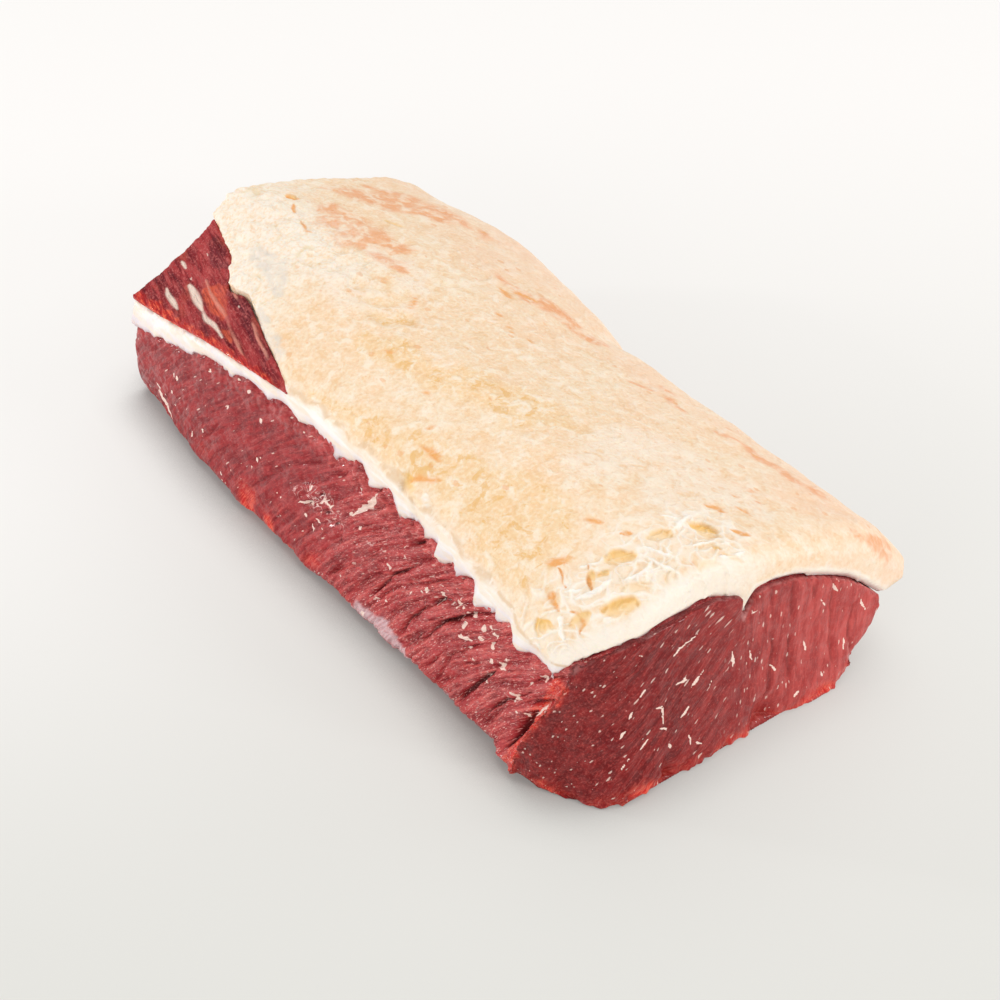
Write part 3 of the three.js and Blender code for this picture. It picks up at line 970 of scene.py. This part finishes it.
def fat_masks(mesh):
    """What the relief and the paint of the fat share."""
    points, normals = points_of(mesh), normals_of(mesh)
    top = smooth(normals[:, 2], 0.0, 0.4)
    web = web_zone(points) * top
    band, sliced = band_zone(points), sliced_zone(points)
    calm = 1 - 0.75 * np.maximum(band, sliced)
    depth, yellow = hollows_of(points)
    shelled = smooth(strokes(points, SHELLS), 0.0, 0.6)
    return SimpleNamespace(
        points=points,
        normals=normals,
        web=web,
        crumb=crumb_zone(points) * top,
        band=band,
        sliced=sliced,
        calm=calm,
        depth=depth,
        yellow=yellow,
        shells=np.abs(lumps(points * [0.7, 1, 1], 11, 58)) * shelled,
        strands=strokes(shaken(points, 3, 0.9, 25), STRANDS),
        dabs=strokes(shaken(points, 4, 1.4, 26), DABS),
        net=net_of(points) * web * calm,
        flakes=flakes_of(points),
        to_lean=gap_to("loin", points),
    )


# %% Move the fat's points and paint them
def fat_height(at):
    """How far each point moves out of the surface."""
    height = np.zeros(len(at.points))
    for i, (high, size) in enumerate(SWELLS):
        height += high * lumps(at.points, size, FIRST_SWELL_SEED + i) * at.calm
    height += FLAKE_HEIGHT * at.flakes * at.crumb - SHELL_DEPTH * at.shells - at.depth
    return height + 0.5 * at.net + 0.8 * at.strands - 0.4 * at.dabs


def move_fat(mesh, at):
    moved = at.points + at.normals * fat_height(at)[:, None]
    pulled = np.exp(-((from_seam(at.points) / 6) ** 2)) * seam_drop(at.points)
    moved += pulled[:, None] * NOTCH_PULL
    rolled = (1 - smooth(at.to_lean, 0, EDGE_ROLL)) * smooth(at.normals[:, 0], 0.2, 0.6)
    moved[:, 0] -= 0.4 * EDGE_ROLL * rolled
    set_points(mesh, moved)
    print("the fat's points moved by up to", round(np.abs(moved - at.points).max(), 1), "mm")


def paint_fat(mesh, at):
    points = at.points
    drifting = shaken(points, 22, 9, 59)
    granules = smooth(-at.flakes, 0.1, 0.35) * smooth(lumps(points, 11, 67), 0.0, 0.35)
    milk_and_shade_edge = at.to_lean + 3 * lumps(points, 12, 61)
    paint(
        mesh,
        band=at.band,
        crumb=at.crumb,
        web=at.web,
        sliced=at.sliced * (1 - 0.85 * torn_rim(points, at.to_lean)),
        strand=np.maximum(at.strands, 0.7 * at.net),
        yellow=at.yellow,
        dab=at.dabs,
        golden=np.maximum(strokes(drifting, GOLDEN), smooth(at.shells, 0.15, 0.45)),
        pale=strokes(drifting, PALE),
        membrane=strokes(shaken(points, 6, 3, 60), MEMBRANE),
        granule=granules * at.crumb,
        blush=strokes(shaken(points, 12, 6, 39), BLUSHES),
        peach=smooth(points[:, 1] + 25 * lumps(points, 40, 40), 15, 85),
        # A grey pink line where the fat meets the lean: partly a thin membrane, partly painted shade
        # between the two.
        seam=1 - smooth(at.to_lean, 0.8, 3.2),
        # Lilac grey on the band close to the lean: partly the silverskin's own tint, partly painted
        # shade under the lean's lip.
        milk=1 - smooth(milk_and_shade_edge, 1, 8),
    )


fat_at = fat_masks(fat.data)
move_fat(fat.data, fat_at)
paint_fat(fat.data, fat_at)

# %% [markdown]
# ## The thin muscle
#
# A second muscle lies in the fat at the rib end, darker than the loin. Its fibres run
# along the cut, so its relief is stretched that way, and thin films of fat cross it.

# %% Copy and shape the thin muscle
CAP_VEINS = [
    ((-163, -72, 69), (-152, -75, 70), (-138, -78, 70), 2.7),
    ((-152, -75, 70), (-130, -80, 71), (-107, -84, 73), 1.5),
    ((-185, -64, 69), (-176, -66, 70), 1.2),
    ((-175, -79, 64), (-164, -82, 64), (-153, -85, 65), 1.6),
    ((-144, -69, 75), (-131, -73, 76), (-117, -79, 75), 0.8),
]
CAP_FILMS = [
    ((-157, -66, 73), (-137, -71, 74), (-104, -80, 75), (-82, -85, 75), 1.3),
    ((-147, -61, 78), (-121, -66, 80), (-82, -76, 80), (-58, -83, 78), 1.1),
]
CAP_GLOWS = [
    ((-150, -70, 73), (-136, -71, 74), (-120, -75, 75), 6.5),
    ((-112, -80, 73), (-98, -82, 74), 3.0),
]
CAP_DARK = [
    ((-124, -66, 80), (-100, -71, 82), (-72, -80, 80), 6.0),
    ((-176, -50, 78), (-150, -56, 78), 6.0),
]
CAP_RIM = [(-187, -92, 57), (-160, -91, 62), (-121, -90, 68), (-83, -88, 74), (-52, -87, 79)]
CAP_SQUARE = 0.65
cap = fine_copy("cap_muscle", "cap_meat", CAP_SQUARE, melt=4)


def shape_cap(mesh):
    points, normals = points_of(mesh), normals_of(mesh)
    turn = math.radians(-14)
    x, y, z = points.T
    grain = np.stack(
        [x * math.cos(turn) + y * math.sin(turn), y * math.cos(turn) - x * math.sin(turn), z], axis=1
    )
    height = 0.7 * lumps(grain * [0.25, 1, 1], 4, 41) + 0.35 * lumps(points, 5, 42)
    height += 0.25 * lumps(grain * [0.25, 1, 1], 1.6, 43)
    films = strokes(shaken(points, 14, 1.6, 62), CAP_FILMS)
    height += 0.7 * films
    up = smooth(normals[:, 2], 0.0, 0.4)
    set_points(mesh, points + normals * (height * up)[:, None])
    paint_grain(mesh, "grain", grain)
    gap, _ = line_distance(points, CAP_RIM)
    ragged = 3 * lumps(grain * [0.5, 1, 1], 3.5, 63)
    paint(
        mesh,
        rim=1 - smooth(gap + ragged, 1.5, 4.5),
        vein=strokes(shaken(points, 12, 1.0, 44), CAP_VEINS),
        film=films,
        glow=strokes(shaken(points, 7, 3, 64), CAP_GLOWS),
        dark=strokes(shaken(points, 9, 3, 65), CAP_DARK),
    )


shape_cap(cap.data)

# %% [markdown]
# ## Small helpers for materials
#
# A shader is a graph, and writing one in code is clearer with a few short functions that
# make a node, plug in numbers or other nodes, and hand back its output. A socket knows
# the node tree that it is in, so most of them find the tree by themselves. Colours are
# built up like paint, layer over layer, and layered() takes the whole list.

# %% Nodes from code
def srgb(red, green, blue):
    """A colour as a screen shows it, 0 to 255, turned into light values."""

    def light(part):
        part /= 255
        return part / 12.92 if part <= 0.04045 else ((part + 0.055) / 1.055) ** 2.4

    return (light(red), light(green), light(blue), 1.0)


def plug(socket, value):
    """Links another node's output to a socket, or sets the socket's own value."""
    if isinstance(value, bpy.types.NodeSocket):
        socket.id_data.links.new(value, socket)
    else:
        socket.default_value = value


def node(tree, kind, sockets, **settings):
    made = tree.nodes.new(kind)
    for name, value in settings.items():
        setattr(made, name, value)
    for key, value in sockets.items():
        plug(made.inputs[key], value)
    return made


def maths(operation, a, b=0.0):
    tree = next(value.id_data for value in (a, b) if isinstance(value, bpy.types.NodeSocket))
    return node(tree, "ShaderNodeMath", {0: a, 1: b}, operation=operation).outputs[0]


def times(a, b):
    return maths("MULTIPLY", a, b)


def vectors(operation, a, b):
    return node(a.id_data, "ShaderNodeVectorMath", {0: a, 1: b}, operation=operation).outputs[0]


def scaled(vector, factor):
    sockets = {0: vector, 3: factor}
    return node(vector.id_data, "ShaderNodeVectorMath", sockets, operation="SCALE").outputs[0]


def ramp(value, low, high, start=0.0, end=1.0):
    sockets = {"Value": value, "From Min": low, "From Max": high, "To Min": start, "To Max": end}
    made = node(value.id_data, "ShaderNodeMapRange", sockets, interpolation_type="SMOOTHSTEP")
    return made.outputs["Result"]


def mix(share, below, above):
    return node(share.id_data, "ShaderNodeMix", {0: share, 2: below, 3: above}).outputs[0]


# %% Colours from code
def blend(share, below, above):
    sockets = {0: share, 6: below, 7: above}
    return node(share.id_data, "ShaderNodeMix", sockets, data_type="RGBA").outputs[2]


def two_tone(share, low, high):
    """A mix of two screen colours."""
    return blend(share, srgb(*low), srgb(*high))


def layered(color, layers):
    """Lays colours over one another. A layer is a mask, its strength and a screen colour."""
    for mask, strength, shade in layers:
        color = blend(times(mask, strength), color, srgb(*shade))
    return color


def clouds(where, scale, detail=2.0, roughness=0.5, distortion=0.0):
    made = node(where.id_data, "ShaderNodeTexNoise", {"Vector": where, "Scale": scale})
    for name, value in (("Detail", detail), ("Roughness", roughness), ("Distortion", distortion)):
        plug(made.inputs[name], value)
    return made.outputs["Fac"]


def painted(tree, name, output="Fac"):
    return node(tree, "ShaderNodeAttribute", {}, attribute_name=name).outputs[output]


def patchy(name, value, *slope):
    """A painted mask, made uneven by a value on a slope."""
    return times(painted(value.id_data, name), ramp(value, *slope))


def place(tree):
    """The point's place on the piece, in metres."""
    return node(tree, "ShaderNodeTexCoord", {}).outputs["Object"]


# %% Groups and materials
def new_group(name, ins, outs):
    """A node group; ins and outs map a socket's name to its kind."""
    tree = bpy.data.node_groups.new(name, "ShaderNodeTree")
    for socket, kind in ins.items():
        tree.interface.new_socket(socket, in_out="INPUT", socket_type=kind)
    for socket, kind in outs.items():
        tree.interface.new_socket(socket, in_out="OUTPUT", socket_type=kind)
    source = tree.nodes.new("NodeGroupInput").outputs
    target = tree.nodes.new("NodeGroupOutput").inputs
    return tree, source, target


def use(tree, group, **sockets):
    made = tree.nodes.new("ShaderNodeGroup")
    made.node_tree = group
    for key, value in sockets.items():
        plug(made.inputs[key], value)
    return made.outputs


def new_material(name):
    material = bpy.data.materials.new(name)
    material.use_nodes = True
    tree = material.node_tree
    return material, tree, tree.nodes["Principled BSDF"]


def finish_skin(piece, material, skin, sockets):
    """Plugs in the last values of a material and lays it on its piece."""
    for name, value in sockets.items():
        plug(skin.inputs[name], value)
    piece.data.materials.append(material)
    print("material:", material.name)


NUMBER, VECTOR = "NodeSocketFloat", "NodeSocketVector"

# %% [markdown]
# ### Muscle fibre
#
# Meat is bundles of fibres. The grain that was stored in the mesh says which way they
# run, so one group serves the side, the cut face and the thin muscle: it squashes the
# grain along its length and reads a coarse noise for the bundles and a fine one for the
# strands.

# %% The fibre group
def squashed(tree, source):
    """The grain drawn together along its length, and counted in widths of a fibre."""
    shorter = maths("DIVIDE", 1.0, source["Stretch"])
    squash = node(tree, "ShaderNodeCombineXYZ", {"X": shorter, "Y": 1.0, "Z": 1.0}).outputs[0]
    finer = maths("DIVIDE", 1.0, source["Width"])
    return scaled(vectors("MULTIPLY", source["Grain"], squash), finer)


SQUASH = {"Grain": VECTOR, "Width": NUMBER, "Stretch": NUMBER}
fibre, source, target = new_group("muscle fibre", SQUASH, {"Bundles": NUMBER, "Strands": NUMBER})
stretched = squashed(fibre, source)
plug(target["Bundles"], clouds(stretched, 0.3, 2.0, 0.5, 0.5))
plug(target["Strands"], clouds(stretched, 1.0, 3.0, 0.6, 0.4))
print("group:", fibre.name)

# %% [markdown]
# ### Flecks
#
# Marbling is mostly short dashes of fat between the bundles. A Voronoi texture scatters
# centres, each with a random colour. Where that colour is above a threshold the centre
# becomes a fleck, and the squashed grain draws it out into a dash.

# %% The fleck group
flecks, source, target = new_group("flecks", {**SQUASH, "Share": NUMBER}, {"Fat": NUMBER})
stretched = squashed(flecks, source)
wobble = node(flecks, "ShaderNodeTexNoise", {"Vector": stretched, "Scale": 0.9}).outputs["Color"]
stretched = vectors("ADD", stretched, scaled(wobble, 1.3))
dots = node(flecks, "ShaderNodeTexVoronoi", {"Vector": stretched, "Scale": 0.3})
chance = node(flecks, "ShaderNodeSeparateColor", {"Color": dots.outputs["Color"]}).outputs
kept = maths("LESS_THAN", chance["Red"], source["Share"])
radius = ramp(chance["Green"], 0.0, 1.0, 0.07, 0.26)
near_centre = maths("DIVIDE", dots.outputs["Distance"], radius)
plug(target["Fat"], times(kept, ramp(near_centre, 0.7, 1.1, 1.0, 0.0)))
print("group:", flecks.name)

# %% [markdown]
# ## Lean
#
# Fresh lean is a deep, slightly wet red. The cut face is the darkest, since it shows the
# ends of the fibres, and it grows lighter from the left muscle to the right, partly in
# their own tones and partly as painted light. The trimmed side is paler and pinker, and
# deeper red towards the rib end. A painted highlight lies on the crests of the folds, and
# the lip is pinker, partly its own tone and partly painted highlight. Over these come
# light and dark strands, then the bright red of torn edges, then pale specks. The creases
# are darkened next with painted shade, because little light gets out of them, and a pale
# margin is laid beside the fat. Painted glints along the grain, films and flecks of fat
# lie on top of it all. Wet spots are smooth under a thin clear coat and give reflected
# glints as well.

# %% The lean material
lean_material, tree, skin = new_material("lean meat")
where = place(tree)
left_grain, right_grain = (painted(tree, name, "Vector") for name in ("grain", "right_grain"))
cut, near, muscle = (painted(tree, name) for name in ("cut", "near", "muscle"))


def both_grains(group, output, **sockets):
    """One output of a group, read along the left grain and the right, each in its place."""
    left = use(tree, group, Grain=left_grain, **sockets)[output]
    right = use(tree, group, Grain=right_grain, **sockets)[output]
    return mix(muscle, left, right)


bundles = both_grains(fibre, "Bundles", Width=0.0009, Stretch=7.0)
strands = both_grains(fibre, "Strands", Width=0.0009, Stretch=7.0)
on_side = ramp(cut, 0.0, 1.0, ramp(near, 0.2, 1.0, 0.35, 0.9), 0.35)

# %% The lean's ground colour
side_tone, cut_tone = ramp(bundles, 0.36, 0.62), ramp(bundles, 0.36, 0.66)
near_color = two_tone(side_tone, (144, 30, 38), (188, 66, 70))
far_color = two_tone(side_tone, (124, 18, 27), (156, 38, 43))
# The cut goes from a darker left tone to a lighter right tone, partly the two muscles' own colours and
# partly painted light.
left_color = two_tone(cut_tone, (106, 10, 14), (134, 28, 28))
right_color = two_tone(cut_tone, (174, 62, 60), (200, 84, 80))
side_color = blend(near, far_color, near_color)
cut_color = blend(painted(tree, "right"), left_color, right_color)
color = layered(
    blend(cut, side_color, cut_color),
    [
        # Painted highlight on the crests of the folds and on the beads.
        (patchy("crest", strands, 0.35, 0.6, 0.35, 1.0), 0.85, (224, 106, 100)),
        # A pinker lip, partly its own tone and partly painted highlight.
        (patchy("lip", clouds(where, 330.0), 0.4, 0.62, 0.1, 0.75), 1.0, (222, 104, 102)),
        (times(ramp(strands, 0.5, 0.72), on_side), 0.55, (232, 122, 114)),
        (times(ramp(strands, 0.46, 0.3), on_side), 0.4, (108, 14, 22)),
        (ramp(clouds(where, 45.0, 3.0, 0.55), 0.5, 0.75), 0.35, (120, 20, 28)),
    ],
)
torn = patchy("torn", clouds(where, 160.0, 3.0), 0.25, 0.55, 0.4, 1.0)
torn_color = two_tone(ramp(strands, 0.4, 0.6), (212, 32, 26), (246, 104, 80))
color = blend(torn, color, torn_color)

# %% The lean's fat, films and creases
side_flecks = use(tree, flecks, Grain=left_grain, Width=0.0006, Stretch=4.0, Share=0.26)["Fat"]
cut_flecks = both_grains(flecks, "Fat", Width=0.0006, Stretch=3.2, Share=0.6)
scattered = times(mix(cut, side_flecks, cut_flecks), 0.65)
crumbled = maths("ADD", painted(tree, "vein"), clouds(where, 420.0, 2.0, 0.6))
fat_mask = maths("MAXIMUM", scattered, ramp(crumbled, 0.95, 1.2))
film = maths("SUBTRACT", clouds(where, 150.0, 2.0, 0.5, 1.0), 0.5)
film = patchy("film", maths("ABSOLUTE", film), 0.0, 0.03, 1.0, 0.0)
# Painted glints: thin pale lines along the grain, most on the near side, standing in for light caught
# by wet fibres.
painted_glints = use(tree, fibre, Grain=left_grain, Width=0.0005, Stretch=4.0)["Strands"]
painted_glints = times(ramp(painted_glints, 0.58, 0.66), maths("SUBTRACT", on_side, 0.3))
color = layered(
    color,
    [
        (ramp(clouds(where, 900.0, 2.0), 0.54, 0.7), 0.28, (216, 92, 84)),
        (ramp(painted(tree, "deep"), 0.2, 1.0), 0.85, (70, 4, 10)),
        (painted(tree, "margin"), 0.35, (214, 166, 162)),
        (painted_glints, 1.4, (252, 190, 182)),
        (film, 0.8, (250, 206, 200)),
        (patchy("tissue", strands, 0.3, 0.6, 0.5, 1.0), 0.85, (226, 196, 200)),
        (fat_mask, 0.9, (255, 228, 214)),
    ],
)

# %% The lean's wet surface
LEAN_DEPTH = {  # how far light goes into lean
    "Subsurface Weight": 0.08,
    "Subsurface Radius": (1.0, 0.25, 0.18),
    "Subsurface Scale": 0.0015,
}
damp = clouds(where, 260.0, 2.0)
shiny = times(ramp(damp, 0.42, 0.56), ramp(painted(tree, "wet"), 0.0, 1.0, 0.55, 1.0))
relief = times(maths("ADD", times(strands, 0.8), times(bundles, 0.9)), on_side)
bump = node(tree, "ShaderNodeBump", {"Strength": 0.8, "Distance": 0.0014, "Height": relief})
lean_sockets = {
    "Base Color": color,
    "Roughness": ramp(shiny, 0.0, 1.0, 0.5, 0.16),
    "Coat Weight": times(shiny, 0.4),
    "Coat Roughness": 0.06,
    "Specular IOR Level": 0.2,
    "Normal": bump.outputs[0],
}
finish_skin(loin, lean_material, skin, {**lean_sockets, **LEAN_DEPTH})

# %% [markdown]
# ## Fat
#
# The fat is cream, and what makes it look real is that the cream drifts: yellower and
# grainier in the middle, whiter where it is torn, peach along the side that it wraps,
# and pure white in the strands of the web and on the band. Fine grain at about a
# millimetre and a half keeps any of it from looking like plastic.

# %% The mottling group
tones = {"Drift": NUMBER, "Swirls": NUMBER, "Grain": NUMBER}
mottle, source, target = new_group("fat mottling", {"Place": VECTOR, "Size": NUMBER}, tones)
small = scaled(source["Place"], maths("DIVIDE", 1.0, source["Size"]))
plug(target["Drift"], clouds(small, 0.06, 4.0, 0.55, 0.4))
plug(target["Swirls"], clouds(small, 0.24, 4.0, 0.55, 0.5))
plug(target["Grain"], clouds(small, 0.9, 3.0, 0.55))

# %% The fat material
fat_material, tree, skin = new_material("waxy fat")
where = place(tree)
spots = use(tree, mottle, Place=where, Size=0.0016)
drift, swirls, grain = spots["Drift"], spots["Swirls"], spots["Grain"]
veil = maths("MAXIMUM", painted(tree, "golden"), times(painted(tree, "web"), 0.9))
ochre = ramp(clouds(where, 130.0, 4.0, 0.65, 0.6), 0.54, 0.64)
specks = use(tree, flecks, Grain=where, Width=0.0018, Stretch=1.4, Share=0.3)["Fat"]
color = layered(
    two_tone(ramp(drift, 0.38, 0.62), (246, 220, 188), (246, 213, 176)),
    [
        (painted(tree, "pale"), 0.65, (249, 230, 210)),
        (painted(tree, "golden"), 0.6, (244, 206, 152)),
        (ramp(swirls, 0.5, 0.66), 0.75, (251, 235, 214)),
        (ramp(swirls, 0.46, 0.34), 0.6, (240, 198, 148)),
        (ramp(grain, 0.45, 0.65), 0.4, (253, 240, 220)),
        (ramp(grain, 0.45, 0.3), 0.4, (236, 194, 146)),
        (patchy("peach", drift, 0.3, 0.7, 0.4, 1.0), 0.5, (246, 206, 180)),
        (patchy("blush", swirls, 0.4, 0.6, 1.0, 0.25), 0.7, (238, 154, 92)),
        (times(ochre, veil), 0.65, (234, 182, 104)),
        (specks, 0.5, (236, 172, 112)),
        (patchy("crumb", grain, 0.3, 0.6, 0.35, 1.0), 0.75, (247, 240, 228)),
        (painted(tree, "granule"), 0.6, (232, 206, 158)),
        (patchy("web", swirls, 0.4, 0.55, 0.3, 0.75), 1.0, (250, 234, 214)),
        (painted(tree, "strand"), 0.85, (255, 250, 242)),
        # Yellow of the hollows, deeper on their far side: partly the fat's own colour, partly painted
        # shade.
        (painted(tree, "yellow"), 0.8, (246, 194, 94)),
        (patchy("dab", grain, 0.35, 0.55, 0.5, 0.9), 1.0, (240, 166, 88)),
        (patchy("membrane", swirls, 0.35, 0.6, 0.9, 0.4), 1.0, (228, 218, 206)),
        (painted(tree, "sliced"), 0.85, (252, 241, 228)),
    ],
)

# %% The fat's white band
band = painted(tree, "band")
streaks = clouds(vectors("MULTIPLY", where, (0.15, 1, 1)), 260.0, 3.0)
band_color = two_tone(ramp(streaks, 0.42, 0.6), (244, 234, 222), (250, 246, 242))
# Lilac grey on the band close to the lean: partly the silverskin's own tint, partly painted shade under
# the lean's lip.
milk = patchy("milk", streaks, 0.35, 0.6, 0.4, 1.0)
band_color = blend(milk, band_color, srgb(222, 210, 218))
color = blend(times(band, ramp(streaks, 0.35, 0.6, 0.7, 0.95)), color, band_color)
band_edge = times(ramp(band, 0.1, 0.4), ramp(band, 0.5, 0.8, 1.0, 0.0))
band_edge = times(band_edge, ramp(swirls, 0.4, 0.55))
# The band's edge, then the grey pink seam by the lean, which is partly a membrane and partly painted
# shade.
edges = [(band_edge, 0.6, (222, 184, 138)), (painted(tree, "seam"), 0.55, (196, 160, 162))]
relief = maths("ADD", times(grain, 0.7), times(swirls, 2.0))
relief = times(relief, ramp(band, 0.0, 1.0, 1.0, 0.3))
bump = node(tree, "ShaderNodeBump", {"Strength": 0.7, "Distance": 0.0009, "Height": relief})
fat_sockets = {
    "Base Color": layered(color, edges),
    "Roughness": ramp(swirls, 0.3, 0.7, 0.36, 0.58),
    "Specular IOR Level": 0.3,
    "Subsurface Weight": 0.15,
    "Subsurface Radius": (1.0, 0.7, 0.45),
    "Subsurface Scale": 0.0025,
    "Normal": bump.outputs[0],
}
finish_skin(fat, fat_material, skin, fat_sockets)

# %% [markdown]
# ## The thin muscle's lean
#
# It is darker and coarser than the loin, and thin films of fat over it let the red glow
# through as orange.

# %% The thin muscle's material
cap_material, tree, skin = new_material("thin muscle")
where, grain = place(tree), painted(tree, "grain", "Vector")
fibres = use(tree, fibre, Grain=grain, Width=0.0013, Stretch=6.0)
bundles, strands = fibres["Bundles"], fibres["Strands"]
thin_films = clouds(vectors("MULTIPLY", grain, (0.45, 1, 1)), 90.0, 2.0)
color = layered(
    two_tone(ramp(bundles, 0.35, 0.65), (108, 18, 30), (174, 54, 56)),
    [
        (painted(tree, "dark"), 0.7, (96, 20, 34)),
        (ramp(strands, 0.45, 0.75), 0.6, (204, 104, 100)),
        (ramp(clouds(where, 800.0, 2.0), 0.54, 0.68), 0.45, (214, 116, 112)),
        (ramp(thin_films, 0.56, 0.7), 0.3, (202, 92, 66)),
        (patchy("glow", strands, 0.35, 0.6, 0.35, 0.9), 1.0, (226, 100, 70)),
    ],
)
rim_color = two_tone(ramp(strands, 0.45, 0.65), (196, 38, 34), (236, 104, 76))
color = blend(patchy("rim", strands, 0.3, 0.6, 0.35, 1.0), color, rim_color)
cap_flecks = use(tree, flecks, Grain=grain, Width=0.001, Stretch=2.4, Share=0.18)["Fat"]
fat_mask = maths("MAXIMUM", times(cap_flecks, 0.7), painted(tree, "vein"))
bump = node(tree, "ShaderNodeBump", {"Strength": 1.0, "Distance": 0.0015, "Height": strands})
fatty = [(painted(tree, "film"), 0.7, (228, 150, 132)), (fat_mask, 0.9, (244, 222, 206))]
cap_sockets = {
    "Base Color": layered(color, fatty),
    "Roughness": ramp(bundles, 0.3, 0.7, 0.35, 0.55),
    "Coat Weight": ramp(bundles, 0.5, 0.65, 0.0, 0.4),
    "Coat Roughness": 0.12,
    "Specular IOR Level": 0.08,
    "Normal": bump.outputs[0],
}
finish_skin(cap, cap_material, skin, {**cap_sockets, **LEAN_DEPTH})

# %% [markdown]
# ## Floor and light
#
# The floor is plain and almost white, with no edge in sight. It glows a little, like a
# light table, which keeps the shadows faint, and glows more to the back and to the left.
# Close to the meat the sky is hidden, so ambient occlusion takes the glow away there and
# leaves a soft dark line of contact.

# %% The floor
FLOOR_REACH = 6.0
FLOOR_DROP = 0.3 * MM
FLOOR_GLOW = 0.66
TO_BACK = (-0.81, 0.59)
TO_LEFT = (-0.59, -0.81)
floor_mesh = bpy.data.meshes.new("floor")
floor_corners = [(x * FLOOR_REACH, y * FLOOR_REACH, 0) for x, y in ((-1, -1), (1, -1), (1, 1), (-1, 1))]
floor_mesh.from_pydata(floor_corners, [], [(0, 1, 2, 3)])
floor = bpy.data.objects.new("floor", floor_mesh)
floor.location.z = -FLOOR_DROP
bpy.context.scene.collection.objects.link(floor)
floor_material, tree, skin = new_material("floor")
across = node(tree, "ShaderNodeSeparateXYZ", {"Vector": place(tree)}).outputs
back, left = (
    maths("ADD", times(across["X"], x), times(across["Y"], y))
    for x, y in (TO_BACK, TO_LEFT)
)
deeper = ramp(back, -0.4, 0.5)
glow = two_tone(deeper, (226, 226, 220), (255, 253, 250))
brighter = times(ramp(left, 0.02, 0.26), ramp(back, -0.3, 0.05, 0.0, 0.9))
open_sky = node(tree, "ShaderNodeAmbientOcclusion", {"Distance": 0.032}, samples=8).outputs["AO"]
closeness = ramp(open_sky, 0.98, 0.4, 0.0, ramp(left, -0.14, 0.02, 0.25, 0.8))
floor_sockets = {
    "Base Color": two_tone(deeper, (140, 139, 137), (150, 148, 147)),
    "Emission Color": layered(glow, [(brighter, 1.0, (255, 253, 250))]),
    "Emission Strength": times(maths("SUBTRACT", 1.0, closeness), FLOOR_GLOW),
    "Roughness": 0.9,
    "Specular IOR Level": 0.1,
}
finish_skin(floor, floor_material, skin, floor_sockets)

# %% [markdown]
# A large softbox above and behind gives the gentle brightening towards the back. On the
# left a small lamp, held low, rakes the folds so that each has a light and a dark side,
# and a tiny one beside it puts sparks on what is wet. A front lamp lights the cut, a wide
# fill opens the shadows, a back lamp lights the side that the fat wraps, and an even sky
# does the rest.

# %% The lamps
LAMPS = [  # name, place, aim, width and power
    ("softbox", (-0.55, 0.45, 1.35), (0, 0.05, 0), 1.2, 6.2),
    ("side light", (-1.0, -0.9, 0.38), (0, -0.05, 0.05), 0.2, 3.5),
    ("spark", (-0.95, -0.95, 0.5), (0, -0.05, 0.05), 0.05, 1.6),
    ("front light", (1.2, 0.5, 0.6), (0.1, 0, 0.05), 0.35, 5.5),
    ("fill", (0.6, -1.4, 0.5), (0.05, 0, 0.05), 0.9, 7.0),
    ("back light", (0.5, 1.3, 0.8), (0, 0.1, 0.05), 0.8, 3.5),
]
SKY_COLOR = (1.0, 0.99, 0.975, 1.0)
SKY_STRENGTH = 0.55

for name, spot, aim, width, watts in LAMPS:
    lamp_data = bpy.data.lights.new(name, "AREA")
    lamp_data.shape = "DISK"
    lamp_data.size = width
    lamp_data.energy = watts
    lamp = bpy.data.objects.new(name, lamp_data)
    lamp.location = spot
    lamp.rotation_euler = (Vector(aim) - Vector(spot)).to_track_quat("-Z", "Y").to_euler()
    bpy.context.scene.collection.objects.link(lamp)
world = bpy.data.worlds.new("studio")
world.use_nodes = True
sky = world.node_tree.nodes["Background"].inputs
sky["Color"].default_value = SKY_COLOR
sky["Strength"].default_value = SKY_STRENGTH
bpy.context.scene.world = world
bpy.context.scene.view_settings.view_transform = "Standard"
print("lamps:", len(LAMPS))

# %% [markdown]
# ## The pieces
#
# Each dressed piece is hung under one empty, and the solid it was made from is hidden.

# %% Attach the pieces and hide the solids
for piece, solid, finish in (
    (loin, "loin", "lean"),
    (fat, "fat_cap", "fat"),
    (cap, "cap_muscle", "cap_lean"),
):
    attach(piece, "root")
    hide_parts(solid)
